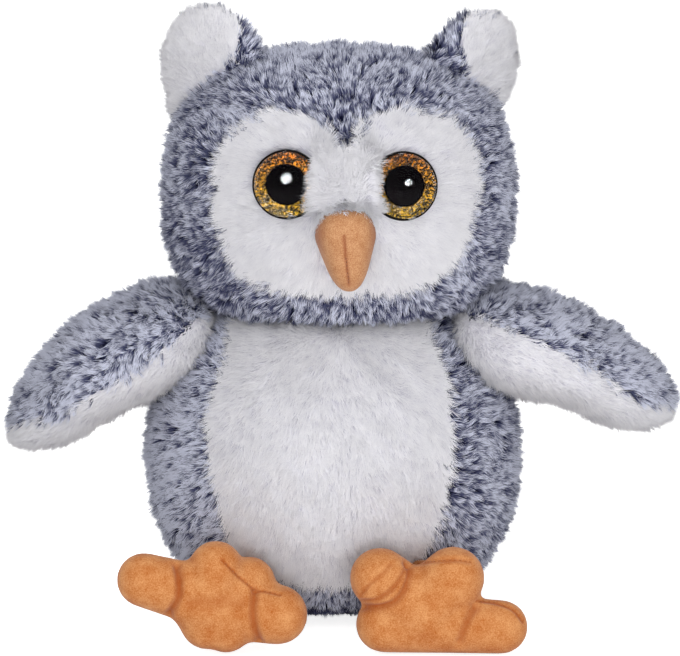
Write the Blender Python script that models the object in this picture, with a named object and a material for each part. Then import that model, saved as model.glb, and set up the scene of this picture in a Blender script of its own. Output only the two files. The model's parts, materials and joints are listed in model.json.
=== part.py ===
"""Seated plush owl: its cut and sewn fabric panels, fillings and eye fittings.

Metres, +Z up. The toy sits on z = 0 with the middle of its seat at the origin
and faces -Y, so its own left side is +X. Each stuffed form swells about a
girth; its cover is a shell under that surface, split into panels along the
seams, and its filling is the same form inside the cover.
"""

import math
from dataclasses import dataclass, replace

import bmesh
import bpy
from mathutils import Matrix, Vector

MM = 0.001
SIDES = {"left": 1, "right": -1}

# Clearances and cutters
SEAM_GAP = 0.4 * MM
FIT_GAP = 0.35 * MM
JOINT_GAP = 0.7 * MM
OVERRUN = 12 * MM
WELD = 0.001 * MM

# Fabrics
PLUSH = 4.0 * MM
VELOUR = 1.8 * MM

# Body
BODY_HALF_WIDTH = 67 * MM
BODY_FRONT = 60 * MM
BODY_BACK = 56 * MM
GIRTH_HEIGHT = 56 * MM
BODY_RISE = 64 * MM
BODY_DROP = 72 * MM
NECK_HEIGHT = 104 * MM
BASE_SEAM_HEIGHT = 8.5 * MM

# Belly panel
BELLY_HALF_WIDTH = 43 * MM
BELLY_CENTRE_HEIGHT = 62 * MM
BELLY_RISE = 64 * MM
BELLY_DROP = 52 * MM
BELLY_POWER = 2.2

# Pellet pouch in the seat
POUCH_RADIUS = 27 * MM
POUCH_HEIGHT = 15 * MM
POUCH_CORNER_SHARE = 0.5
POUCH_FOOT_SHARE = 0.17

# Head, set a little to the toy's left and turned that way
UPPER_SHIFT = 2 * MM
HEAD_TURN = math.radians(2.5)
HEAD_HALF_WIDTH = 63 * MM
HEAD_FRONT = 55 * MM
HEAD_BACK = 52 * MM
HEAD_CENTRE_HEIGHT = 148 * MM
HEAD_HALF_HEIGHT = 52 * MM
HEAD_CROWN_POWER = 2.45
HEAD_CHIN_POWER = 2.9
HEAD_PLAN_POWER = 2.2
HEAD_SEAM_Y = 4 * MM

# Face panel: ovals about its middle, as shares of its half sizes
FACE_HALF_WIDTH = 46 * MM
FACE_HALF_HEIGHT = 33.5 * MM
FACE_ABOVE_CENTRE = 3 * MM
FACE_OVAL_SHARES = (
    (0.47, 0.26, 0.53, 0.74),
    (-0.47, 0.26, 0.53, 0.74),
    (0.35, -0.34, 0.55, 0.66),
    (-0.35, -0.34, 0.55, 0.66),
    (0.0, -0.1, 0.6, 0.73),
)
FACE_BLEND = 14

# Ears
EAR_HALF_WIDTH = 23.5 * MM
EAR_HALF_THICKNESS = 10.5 * MM
EAR_RISE = 27 * MM
EAR_DROP = 28 * MM
LEFT_EAR_OUT = 45 * MM
RIGHT_EAR_OUT = 43 * MM
EAR_OUT = {"left": LEFT_EAR_OUT, "right": RIGHT_EAR_OUT}
EAR_ABOVE_CENTRE = 40.5 * MM
EAR_LEAN = {"left": math.radians(15), "right": math.radians(12)}
EAR_FACING = math.radians(32)
EAR_TIP_POWER = 2.1

# Eyes: clear lens, glitter disc, black pupil, backing cup with stem, lock washer
EYE_RADIUS = 12 * MM
EYE_OUT = 20.2 * MM
EYE_ABOVE_CENTRE = 13 * MM
EYE_SEAT_DEPTH = 1.9 * MM
CUP_FLOOR = 1.0 * MM
CUP_RIM = 0.7 * MM
CUP_WALL_HEIGHT = 2.4 * MM
IRIS_THICKNESS = 0.6 * MM
PUPIL_RADIUS = 6.8 * MM
PUPIL_HEIGHT = 1.6 * MM
PUPIL_BEVEL = 0.4 * MM
LENS_EDGE = 1.0 * MM
LENS_CROWN = 5.6 * MM
FITTING_GAP = 0.1 * MM
STEM_RADIUS = 2.3 * MM
STEM_RIDGE = 0.35 * MM
STEM_LENGTH = 15 * MM
STEM_RIDGES = 2
RIDGE_SHARE = 0.8
WASHER_RADIUS = 8.5 * MM
WASHER_THICKNESS = 1.6 * MM

# Beak: two velour cheeks joined by a middle seam
BEAK_HALF_WIDTH = 10.5 * MM
BEAK_OUT = 17 * MM
BEAK_RISE = 11 * MM
BEAK_DROP = 18.5 * MM
BEAK_TIP_POWER = 1.75
BEAK_BELOW_CENTRE = 6 * MM
BEAK_SINK = 2 * MM
BEAK_TILT = math.radians(14)

# Wings, hinged at the shoulders about an axis that runs front to back
SHOULDER_OUT = 65 * MM
SHOULDER_Y = -6 * MM
SHOULDER_HEIGHT = 95.5 * MM
WING_ROOT_RADIUS = 18 * MM
WING_HALF_CHORD = 29 * MM
WING_LENGTH = 60 * MM
WING_TIP_POWER = 2.3
WING_FULLNESS = 0.1
WING_DROOP = {"left": math.radians(23), "right": math.radians(31)}
WING_LOWERS = math.radians(8)
WING_TWIST = {"left": math.radians(-6), "right": math.radians(10)}

# Feet: three toes and a heel or instep, spread about the middle of the pad
LEFT_FOOT_OUT = 32.5 * MM
RIGHT_FOOT_OUT = 41 * MM
FOOT_OUT = {"left": LEFT_FOOT_OUT, "right": RIGHT_FOOT_OUT}
FOOT_Y = -74 * MM
FOOT_FLOOR_GAP = 0.4 * MM
FOOT_FACING = math.radians(12)
PAD_HALF_WIDTH = 18 * MM
PAD_HALF_HEIGHT = 18 * MM
FOOT_HALF_THICKNESS = 11.5 * MM
TOE_REACH = 37 * MM
TOE_RADIUS = 10 * MM
TOE_BLEND = 9
SOLE_DEPTH_SHARE = 0.5
UPPER_DEPTH_SHARE = 1.0
TOE_ANGLES = {"left": (-20, 39, 153, 208), "right": (-14, 38, 90, 163)}
TOE_REACH_SHARES = {"left": (1.0, 0.63, 0.77, 0.66), "right": (0.94, 0.55, 0.58, 0.98)}
TOE_RADIUS_SHARES = {"left": (0.98, 1.22, 1.08, 1.12), "right": (1.0, 1.05, 1.1, 0.92)}
HIP_RADIUS = 9.5 * MM
HIP_OUT = 31 * MM
HIP_Y = -48 * MM
HIP_HEIGHT = 20 * MM

# Facets: round a form, then along it
BODY_SEGMENTS = 26
BODY_RINGS = 13
BODY_GRID = (BODY_SEGMENTS, BODY_RINGS)
CORE_SEGMENTS = 20
CORE_RINGS = 10
CORE_GRID = (CORE_SEGMENTS, CORE_RINGS)
WING_SEGMENTS = 18
WING_RINGS = 10
WING_GRID = (WING_SEGMENTS, WING_RINGS)
WING_CORE_SEGMENTS = 14
WING_CORE_RINGS = 8
WING_CORE_GRID = (WING_CORE_SEGMENTS, WING_CORE_RINGS)
FOOT_SEGMENTS = 28
FOOT_RINGS = 10
FOOT_GRID = (FOOT_SEGMENTS, FOOT_RINGS)
SMALL_SEGMENTS = 14
SMALL_RINGS = 8
SMALL_GRID = (SMALL_SEGMENTS, SMALL_RINGS)
SOCKET_SEGMENTS = 24
SOCKET_RINGS = 12
SOCKET_GRID = (SOCKET_SEGMENTS, SOCKET_RINGS)
TURNED_SIDES = 16
DOME_STEPS = 5
OUTLINE_POINTS = 48
MEASURED_POINTS = 360
SHARP_EDGE = math.radians(40)

GREY_PLUSH = ("grey_plush", (0.44, 0.45, 0.53), 0.95, 0.0)
WHITE_PLUSH = ("white_plush", (0.84, 0.83, 0.87), 0.95, 0.0)
ORANGE_VELOUR = ("orange_velour", (0.82, 0.55, 0.32), 0.85, 0.0)
FILLING = ("fibre_filling", (0.93, 0.93, 0.91), 1.0, 0.0)
POUCH_CLOTH = ("pouch_cloth", (0.80, 0.79, 0.75), 0.9, 0.0)
BLACK_PLASTIC = ("black_plastic", (0.02, 0.02, 0.02), 0.3, 0.0)
CLEAR_PLASTIC = ("clear_plastic", (0.95, 0.95, 0.95), 0.05, 0.0)
GOLD_GLITTER = ("gold_glitter", (0.60, 0.42, 0.14), 0.35, 0.6)
WASHER_PLASTIC = ("white_plastic", (0.90, 0.90, 0.90), 0.4, 0.0)


@dataclass
class Swell:
    """Half sizes of a stuffed form about its girth, and how square it is."""

    side: float
    front: float
    back: float
    up: float
    down: float
    plan_power: float = 2.0
    up_power: float = 2.0
    down_power: float = 2.0

    def inset(self, depth):
        """The same form, drawn in by a depth all round."""
        return replace(
            self,
            side=self.side - depth,
            front=self.front - depth,
            back=self.back - depth,
            up=self.up - depth,
            down=self.down - depth,
        )

    def at(self, way):
        """The point of the surface that a unit sphere's point moves to."""
        flat = math.hypot(way.x, way.y)
        power = self.up_power if way.z > 0 else self.down_power
        profile = (flat**power + abs(way.z) ** power) ** (-1 / power)
        plan = 1.0
        if flat > 0:
            across, along = abs(way.x) / flat, abs(way.y) / flat
            plan = (across**self.plan_power + along**self.plan_power) ** (
                -1 / self.plan_power
            )
        depth = self.front if way.y < 0 else self.back
        height = self.up if way.z > 0 else self.down
        return Vector(
            (
                self.side * way.x * plan * profile,
                depth * way.y * plan * profile,
                height * way.z * profile,
            )
        )

    def front_at(self, x, z):
        """The front surface's point over (x, z), and its outward normal."""
        power = self.up_power if z > 0 else self.down_power
        height = self.up if z > 0 else self.down
        level = 1 - abs(z / height) ** power
        plan = level ** (self.plan_power / power) - abs(x / self.side) ** self.plan_power
        y_share = plan ** (1 / self.plan_power)
        lift = (level ** (self.plan_power / power)) ** (power / self.plan_power - 1)
        normal = Vector(
            (
                math.copysign(lift * abs(x / self.side) ** (self.plan_power - 1) / self.side, x),
                -lift * y_share ** (self.plan_power - 1) / self.front,
                math.copysign(abs(z / height) ** (power - 1) / height, z),
            )
        )
        return Vector((x, -self.front * y_share, z)), normal.normalized()


@dataclass
class Lobe:
    """An ellipsoid that holds the form's middle, turned in the XZ plane."""

    centre: Vector
    halves: Vector
    angle: float = 0.0

    def reach(self, way):
        """How far a ray from the middle goes before it leaves the lobe."""
        turn = Matrix.Rotation(self.angle, 3, "Y")
        heading = turn @ way
        start = turn @ self.centre
        heading = Vector([heading[i] / self.halves[i] for i in range(3)])
        start = Vector([start[i] / self.halves[i] for i in range(3)])
        a = heading.dot(heading)
        b = heading.dot(start)
        return (b + math.sqrt(b * b - a * start.dot(start) + a)) / a


@dataclass
class Toe:
    """A round-ended limb that runs out from the form's middle."""

    heading: Vector
    length: float
    radius: float

    def reach(self, way):
        """How far a ray from the middle goes before it leaves the toe."""
        along = way.dot(self.heading)
        across = math.sqrt(max(0.0, 1 - along * along))
        if along <= 0:
            return self.radius
        if self.radius * along <= self.length * across:
            return self.radius / across
        return self.length * along + math.sqrt(self.radius**2 - (self.length * across) ** 2)


def clear_scene():
    """Removes whatever the scene holds."""
    for old in list(bpy.data.objects):
        bpy.data.objects.remove(old, do_unlink=True)


def material(recipe):
    """A Principled material from (name, colour, roughness, metallic)."""
    name, colour, roughness, metallic = recipe
    made = bpy.data.materials.get(name) or bpy.data.materials.new(name)
    made.use_nodes = True
    shader = made.node_tree.nodes["Principled BSDF"]
    shader.inputs["Base Color"].default_value = (*(c**2.2 for c in colour), 1)
    shader.inputs["Roughness"].default_value = roughness
    shader.inputs["Metallic"].default_value = metallic
    return made


def empty_at(name, place, turn=0.0):
    """An empty that carries the pieces of one joint."""
    holder = bpy.data.objects.new(name, None)
    holder.matrix_world = Matrix.Translation(place) @ Matrix.Rotation(turn, 4, "Z")
    bpy.context.collection.objects.link(holder)
    return holder


def add_object(name, bm, place=None, holder=None, finish=None):
    """Links a mesh as an object; without a finish it is a hidden cutter."""
    mesh = bpy.data.meshes.new(name)
    bm.to_mesh(mesh)
    bm.free()
    made = bpy.data.objects.new(name, mesh)
    bpy.context.collection.objects.link(made)
    if holder:
        made.parent = holder
    if place:
        made.matrix_local = place
    if finish:
        made.data.materials.append(material(finish))
        made.data.shade_smooth()
        made.data.set_sharp_from_angle(angle=SHARP_EDGE)
    else:
        made.hide_render = True
        made.display_type = "WIRE"
    return made


def cut(target, tool, operation="DIFFERENCE"):
    """Adds a Boolean of the target with a cutter."""
    step = target.modifiers.new(tool.name, "BOOLEAN")
    step.operation = operation
    step.solver = "EXACT"
    step.object = tool
    return target


def swollen(swell, grid, shape=None):
    """A sphere's mesh, moved out onto a swelling form."""
    segments, rings = grid
    bm = bmesh.new()
    bmesh.ops.create_uvsphere(bm, u_segments=segments, v_segments=rings, radius=1)
    for vert in bm.verts:
        vert.co = swell.at(vert.co.normalized())
        if shape:
            vert.co = shape(vert.co)
    return faceted(bm)


def faceted(bm):
    """The mesh in triangles that run alike in a cover and its filling."""
    bmesh.ops.triangulate(bm, faces=bm.faces[:], quad_method="FIXED")
    return bm


def trimmed(bm, height, keep_above):
    """The mesh cut flat at a height and closed there."""
    away = Vector((0, 0, -1 if keep_above else 1))
    geometry = bm.verts[:] + bm.edges[:] + bm.faces[:]
    bmesh.ops.bisect_plane(
        bm, geom=geometry, dist=WELD, plane_co=(0, 0, height), plane_no=away, clear_outer=True
    )
    rim = [edge for edge in bm.edges if edge.is_boundary]
    bmesh.ops.contextual_create(bm, geom=rim)
    bmesh.ops.recalc_face_normals(bm, faces=bm.faces[:])
    return bm


def block(low, high):
    """A box between two corners."""
    bm = bmesh.new()
    size = Vector(high) - Vector(low)
    middle = (Vector(high) + Vector(low)) / 2
    bmesh.ops.create_cube(bm, size=1, matrix=Matrix.Translation(middle) @ Matrix.Diagonal((*size, 1)))
    return bm


def prism(outline, near, far):
    """An outline of (x, z) points, run along Y from near to far."""
    bm = bmesh.new()
    face = bm.faces.new([bm.verts.new((x, near, z)) for x, z in outline])
    sides = bmesh.ops.extrude_face_region(bm, geom=[face])["geom"]
    moved = [part for part in sides if isinstance(part, bmesh.types.BMVert)]
    bmesh.ops.translate(bm, verts=moved, vec=(0, far - near, 0))
    bmesh.ops.recalc_face_normals(bm, faces=bm.faces[:])
    return bm


def turned(profile, sides=TURNED_SIDES):
    """A profile of (radius, z) points, turned about Z and closed on the axis."""
    bm = bmesh.new()
    verts = [bm.verts.new((radius, 0, z)) for radius, z in profile]
    edges = [bm.edges.new(pair) for pair in zip(verts, verts[1:])]
    if profile[0][0] > 0:
        edges.append(bm.edges.new((verts[-1], verts[0])))
    bmesh.ops.spin(
        bm, geom=verts + edges, cent=(0, 0, 0), axis=(0, 0, 1), angle=math.tau,
        steps=sides, use_merge=True,
    )
    bmesh.ops.remove_doubles(bm, verts=bm.verts[:], dist=WELD)
    bmesh.ops.recalc_face_normals(bm, faces=bm.faces[:])
    return bm


def wide_block(low_z, high_z, low_x=None, high_x=None, low_y=None, high_y=None):
    """A box past the body on every side that isn't given."""
    reach = BODY_HALF_WIDTH + HEAD_HALF_WIDTH
    low = (-reach if low_x is None else low_x, -reach if low_y is None else low_y, low_z)
    high = (reach if high_x is None else high_x, reach if high_y is None else high_y, high_z)
    return block(low, high)


def body_form(depth, grid=BODY_GRID):
    """The body drawn in by a depth and flat on its seat."""
    whole = Swell(BODY_HALF_WIDTH, BODY_FRONT, BODY_BACK, BODY_RISE, BODY_DROP)
    bm = swollen(whole.inset(depth), grid)
    bmesh.ops.translate(bm, verts=bm.verts[:], vec=(0, 0, GIRTH_HEIGHT))
    return trimmed(bm, depth, keep_above=True)


def belly_outline(gap):
    """The belly panel's edge, drawn in by a gap."""
    points = []
    for step in range(OUTLINE_POINTS):
        angle = math.tau * step / OUTLINE_POINTS
        across, up = math.cos(angle), math.sin(angle)
        reach = (abs(across) ** BELLY_POWER + abs(up) ** BELLY_POWER) ** (-1 / BELLY_POWER)
        height = BELLY_RISE if up > 0 else BELLY_DROP
        points.append(
            (
                (BELLY_HALF_WIDTH - gap) * across * reach,
                BELLY_CENTRE_HEIGHT + (height - gap) * up * reach,
            )
        )
    return points


def make_body(wing_sockets, hip_sockets):
    """Side, belly and base panels round a filling that holds the pouch."""
    top = NECK_HEIGHT + BODY_RISE
    half_seam = SEAM_GAP / 2
    core = add_object("body_core", body_form(PLUSH, CORE_GRID))
    above_neck = add_object("above_neck", wide_block(NECK_HEIGHT, top))
    below_seam = add_object("below_seam", wide_block(-OVERRUN, BASE_SEAM_HEIGHT + half_seam))
    above_seam = add_object("above_seam", wide_block(BASE_SEAM_HEIGHT - half_seam, top))
    far = BODY_FRONT + OVERRUN
    belly_hole = add_object("belly_hole", prism(belly_outline(-half_seam), -far, 0))
    belly_piece = add_object("belly_piece", prism(belly_outline(half_seam), -far, 0))
    for side, sign in SIDES.items():
        panel = add_object(f"body_{side}_panel", body_form(0), finish=GREY_PLUSH)
        inner, outer = sorted((sign * half_seam, sign * (BODY_HALF_WIDTH + OVERRUN)))
        half = add_object(
            f"{side}_half",
            wide_block(BASE_SEAM_HEIGHT + half_seam, NECK_HEIGHT, low_x=inner, high_x=outer),
        )
        cut(panel, core)
        cut(panel, half, "INTERSECT")
        cut(panel, belly_hole)
        cut(panel, wing_sockets[side])
        cut(panel, hip_sockets[side])
    belly = add_object("belly_panel", body_form(0), finish=WHITE_PLUSH)
    cut(belly, core)
    cut(belly, belly_piece, "INTERSECT")
    for tool in (above_neck, below_seam, *hip_sockets.values()):
        cut(belly, tool)
    base = add_object("base_panel", body_form(0), finish=GREY_PLUSH)
    for tool in (core, above_seam):
        cut(base, tool)
    floor = PLUSH + FIT_GAP
    filling = add_object("body_stuffing", body_form(floor, CORE_GRID), finish=FILLING)
    pouch_room = turned(pouch_profile(floor - OVERRUN, FIT_GAP))
    cut(filling, add_object("pouch_room", pouch_room))
    for tool in (above_neck, *wing_sockets.values(), *hip_sockets.values()):
        cut(filling, tool)
    add_object("pellet_pouch", turned(pouch_profile(floor, 0)), finish=POUCH_CLOTH)


def pouch_profile(bottom, gap):
    """Half outline of the round pouch, with its edges rounded."""
    radius = POUCH_RADIUS + gap
    top = PLUSH + FIT_GAP + POUCH_HEIGHT + gap
    corner = POUCH_HEIGHT * POUCH_CORNER_SHARE
    middle = top - corner
    foot = POUCH_HEIGHT * POUCH_FOOT_SHARE
    points = [(0, top)]
    for step in range(DOME_STEPS + 1):
        angle = math.radians(90 * (1 - step / DOME_STEPS))
        points.append((radius - corner + corner * math.cos(angle), middle + corner * math.sin(angle)))
    return [*points, (radius, bottom + foot), (radius - foot, bottom), (0, bottom)]


def head_swell(depth):
    """The head drawn in by a depth."""
    return Swell(
        HEAD_HALF_WIDTH, HEAD_FRONT, HEAD_BACK, HEAD_HALF_HEIGHT, HEAD_HALF_HEIGHT,
        HEAD_PLAN_POWER, HEAD_CROWN_POWER, HEAD_CHIN_POWER,
    ).inset(depth)


def face_outline(gap):
    """The face panel's edge: the far side of its ovals, seen from its middle."""
    ovals = [
        Lobe(
            Vector((x * FACE_HALF_WIDTH, 0, z * FACE_HALF_HEIGHT)),
            Vector((a * FACE_HALF_WIDTH, 1, b * FACE_HALF_HEIGHT)),
        )
        for x, z, a, b in FACE_OVAL_SHARES
    ]
    points = []
    for step in range(OUTLINE_POINTS):
        angle = math.tau * step / OUTLINE_POINTS
        way = Vector((math.cos(angle), 0, math.sin(angle)))
        reach = blended([oval.reach(way) for oval in ovals], FACE_BLEND) - gap
        points.append((reach * way.x, FACE_ABOVE_CENTRE + reach * way.z))
    return points


def blended(reaches, power):
    """The largest of several reaches, rounded where two are alike."""
    most = max(reaches)
    total = sum((reach / most) ** power for reach in reaches)
    return most * total ** (1 / power)


def eye_place(sign):
    """Where an eye's backing sits, its local Z pointing out of the face."""
    seat, normal = head_swell(0).front_at(sign * EYE_OUT, EYE_ABOVE_CENTRE)
    turn = normal.to_track_quat("Z", "Y").to_matrix().to_4x4()
    return Matrix.Translation(seat - normal * EYE_SEAT_DEPTH) @ turn


def washer_top():
    """How far below the eye's seat the washer clears the bent fabric."""
    bend_radius = HEAD_FRONT - PLUSH - EYE_ABOVE_CENTRE
    bend = WASHER_RADIUS**2 / (2 * bend_radius)
    facet = HEAD_HALF_WIDTH * (1 - math.cos(math.pi / CORE_GRID[0]))
    return PLUSH - EYE_SEAT_DEPTH + bend + facet + FIT_GAP


def make_head(holder):
    """Front, back and face panels round a filling with room for the eyes."""
    half_seam = SEAM_GAP / 2
    rest = NECK_HEIGHT - HEAD_CENTRE_HEIGHT + SEAM_GAP
    top = HEAD_HALF_HEIGHT + OVERRUN
    far = HEAD_FRONT + OVERRUN
    core = add_object("head_core", swollen(head_swell(PLUSH), CORE_GRID), holder=holder)
    behind = add_object("behind_seam", wide_block(-top, top, low_y=HEAD_SEAM_Y - half_seam), holder=holder)
    before = add_object("before_seam", wide_block(-top, top, high_y=HEAD_SEAM_Y + half_seam), holder=holder)
    face_hole = add_object("face_hole", prism(face_outline(-half_seam), -far, 0), holder=holder)
    face_piece = add_object("face_piece", prism(face_outline(half_seam), -far, 0), holder=holder)
    outer = trimmed(swollen(head_swell(0), BODY_GRID), rest, keep_above=True)
    front = add_object("head_front_panel", outer.copy(), holder=holder, finish=GREY_PLUSH)
    for tool in (core, behind, face_hole):
        cut(front, tool)
    back = add_object("head_back_panel", outer.copy(), holder=holder, finish=GREY_PLUSH)
    for tool in (core, before):
        cut(back, tool)
    face = add_object("face_panel", outer, holder=holder, finish=WHITE_PLUSH)
    cut(face, core)
    cut(face, face_piece, "INTERSECT")
    inner = trimmed(swollen(head_swell(PLUSH + FIT_GAP), CORE_GRID), rest, keep_above=True)
    filling = add_object("head_stuffing", inner, holder=holder, finish=FILLING)
    for side, sign in SIDES.items():
        place = eye_place(sign)
        cut(face, add_object(f"{side}_eye_seat", turned(seat_profile()), place, holder))
        cut(filling, add_object(f"{side}_eye_room", turned(room_profile()), place, holder))
        make_eye(side, place, holder)
    make_beak(holder)
    make_ears(holder)


def seat_profile():
    """The flattened seat under an eye, with the hole for its stem."""
    hole = STEM_RADIUS + STEM_RIDGE + FIT_GAP
    return [
        (0, OVERRUN),
        (EYE_RADIUS + FIT_GAP, OVERRUN),
        (EYE_RADIUS + FIT_GAP, -FIT_GAP),
        (hole, -FIT_GAP),
        (hole, -OVERRUN),
        (0, -OVERRUN),
    ]


def room_profile():
    """The room in the filling for a lock washer and the stem through it."""
    floor = -washer_top() - WASHER_THICKNESS - FIT_GAP
    hole = STEM_RADIUS + STEM_RIDGE + FIT_GAP
    return [
        (0, OVERRUN),
        (WASHER_RADIUS + FIT_GAP, OVERRUN),
        (WASHER_RADIUS + FIT_GAP, floor),
        (hole, floor),
        (hole, -STEM_LENGTH - FIT_GAP),
        (0, -STEM_LENGTH - FIT_GAP),
    ]


def cup_profile():
    """Backing cup: a shallow wall round the disc and a ridged stem below."""
    points = [
        (0, CUP_FLOOR),
        (EYE_RADIUS - CUP_RIM, CUP_FLOOR),
        (EYE_RADIUS - CUP_RIM, CUP_WALL_HEIGHT),
        (EYE_RADIUS, CUP_WALL_HEIGHT),
        (EYE_RADIUS, 0),
        (STEM_RADIUS, 0),
    ]
    start = washer_top() + WASHER_THICKNESS + FITTING_GAP
    pitch = (STEM_LENGTH - start) / (STEM_RIDGES + 1)
    for ridge in range(STEM_RIDGES):
        foot = -start - ridge * pitch
        points.append((STEM_RADIUS, foot))
        points.append((STEM_RADIUS + STEM_RIDGE, foot))
        points.append((STEM_RADIUS, foot - pitch * RIDGE_SHARE))
    points.append((STEM_RADIUS - STEM_RIDGE, -STEM_LENGTH))
    points.append((0, -STEM_LENGTH))
    return points


def lens_profile(pocket_top):
    """Domed lens with a flat back and a pocket for the pupil."""
    radius = EYE_RADIUS - CUP_RIM - FITTING_GAP
    bottom = CUP_FLOOR + IRIS_THICKNESS + 2 * FITTING_GAP
    edge = bottom + LENS_EDGE
    dome = [math.radians(90 * step / DOME_STEPS) for step in range(DOME_STEPS + 1)]
    crown = [(radius * math.sin(a), edge + LENS_CROWN * math.cos(a)) for a in dome]
    pocket = PUPIL_RADIUS + 2 * FITTING_GAP
    return [*crown, (radius, bottom), (pocket, bottom), (pocket, pocket_top), (0, pocket_top)]


def make_eye(side, place, holder):
    """Five fittings stacked on one axis, from the washer out to the lens."""
    low = CUP_FLOOR + FITTING_GAP
    iris_radius = EYE_RADIUS - CUP_RIM - FITTING_GAP
    bore = PUPIL_RADIUS + FITTING_GAP
    iris = [
        (bore, low + IRIS_THICKNESS), (iris_radius, low + IRIS_THICKNESS), (iris_radius, low), (bore, low),
    ]
    pupil_top = low + PUPIL_HEIGHT
    pupil = [
        (0, pupil_top),
        (PUPIL_RADIUS - PUPIL_BEVEL, pupil_top),
        (PUPIL_RADIUS, pupil_top - PUPIL_BEVEL),
        (PUPIL_RADIUS, low),
        (0, low),
    ]
    hole = STEM_RADIUS + FITTING_GAP
    washer = [
        (hole, -washer_top()),
        (WASHER_RADIUS, -washer_top()),
        (WASHER_RADIUS, -washer_top() - WASHER_THICKNESS),
        (hole, -washer_top() - WASHER_THICKNESS),
    ]
    fittings = {
        "backing": (cup_profile(), BLACK_PLASTIC),
        "iris": (iris, GOLD_GLITTER),
        "pupil": (pupil, BLACK_PLASTIC),
        "lens": (lens_profile(pupil_top + FITTING_GAP), CLEAR_PLASTIC),
        "washer": (washer, WASHER_PLASTIC),
    }
    for name, (profile, finish) in fittings.items():
        add_object(f"eye_{side}_{name}", turned(profile), place, holder, finish)


def make_beak(holder):
    """Left and right velour cheeks and their filling, seated on the face."""
    y = head_swell(0).front_at(0, -BEAK_BELOW_CENTRE)[0].y + BEAK_SINK
    place = Matrix.Translation((0, y, -BEAK_BELOW_CENTRE)) @ Matrix.Rotation(-BEAK_TILT, 4, "X")
    whole = Swell(
        BEAK_HALF_WIDTH, BEAK_OUT, BEAK_OUT, BEAK_RISE, BEAK_DROP, down_power=BEAK_TIP_POWER
    )
    core = add_object("beak_core", swollen(whole.inset(VELOUR), SMALL_GRID), place, holder)
    face_skin = add_object("beak_seat", swollen(head_swell(-FIT_GAP), BODY_GRID), holder=holder)
    half_seam = SEAM_GAP / 2
    reach = BEAK_OUT + OVERRUN
    for side, sign in SIDES.items():
        panel = add_object(f"beak_{side}_panel", swollen(whole, SMALL_GRID), place, holder, ORANGE_VELOUR)
        near, far = sorted((-sign * reach, sign * half_seam))
        bm = block((near, -reach, -reach), (far, reach, reach))
        other = add_object(f"beak_not_{side}", bm, place, holder)
        for tool in (core, other, face_skin):
            cut(panel, tool)
    inner = swollen(whole.inset(VELOUR + FIT_GAP), SMALL_GRID)
    cut(add_object("beak_stuffing", inner, place, holder, FILLING), face_skin)


def make_ears(holder):
    """Each ear is a white front and a grey back, seated on the head's corner."""
    whole = Swell(
        EAR_HALF_WIDTH, EAR_HALF_THICKNESS, EAR_HALF_THICKNESS, EAR_RISE, EAR_DROP,
        up_power=EAR_TIP_POWER,
    )
    head_skin = add_object("ear_seat", swollen(head_swell(-FIT_GAP), BODY_GRID), holder=holder)
    reach = EAR_RISE + OVERRUN
    half_seam = SEAM_GAP / 2
    for side, sign in SIDES.items():
        place = (
            Matrix.Translation((sign * EAR_OUT[side], HEAD_SEAM_Y, EAR_ABOVE_CENTRE))
            @ Matrix.Rotation(sign * EAR_LEAN[side], 4, "Y")
            @ Matrix.Rotation(sign * EAR_FACING, 4, "Z")
        )
        for part, finish, near, far in (
            ("front", WHITE_PLUSH, -half_seam, reach),
            ("back", GREY_PLUSH, -reach, half_seam),
        ):
            ear = add_object(f"ear_{side}_{part}", swollen(whole, SMALL_GRID), place, holder, finish)
            other = add_object(
                f"ear_{side}_not_{part}", block((-reach, near, -reach), (reach, far, reach)), place, holder
            )
            cut(cut(ear, other), head_skin)


def wing_shape(side):
    """Fills a wing out past its root and twists it towards its tip."""

    def shape(point):
        share = max(0.0, point.z / WING_LENGTH)
        fuller = 1 + WING_FULLNESS * math.sin(math.pi * min(1.0, share))
        turn = Matrix.Rotation(SIDES[side] * WING_TWIST[side] * share * share, 3, "Z")
        return turn @ Vector((point.x * fuller, point.y * fuller, point.z))

    return shape


def wing_swell(depth):
    """A wing along +Z, whose root is round about the hinge axis."""
    return Swell(
        WING_ROOT_RADIUS, WING_HALF_CHORD, WING_HALF_CHORD, WING_LENGTH, WING_ROOT_RADIUS,
        up_power=WING_TIP_POWER,
    ).inset(depth)


def root_ball(name, hinge, gap):
    """The wing root's round form about its hinge, with a gap round it."""
    ball = Swell(
        WING_ROOT_RADIUS, WING_HALF_CHORD, WING_HALF_CHORD, WING_ROOT_RADIUS, WING_ROOT_RADIUS
    ).inset(-gap)
    return add_object(name, swollen(ball, SOCKET_GRID), Matrix.Translation(hinge))


def body_side_at_lowest(side, hinge):
    """Where the body comes when the wing is lowered, but for the root's ball."""
    swing = Matrix.Rotation(-SIDES[side] * WING_LOWERS, 4, "Y")
    place = Matrix.Translation(hinge) @ swing @ Matrix.Translation(-hinge)
    dent = add_object(f"wing_{side}_dent", body_form(-JOINT_GAP), place)
    return cut(dent, root_ball(f"wing_{side}_ball", hinge, JOINT_GAP / 2))


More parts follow.
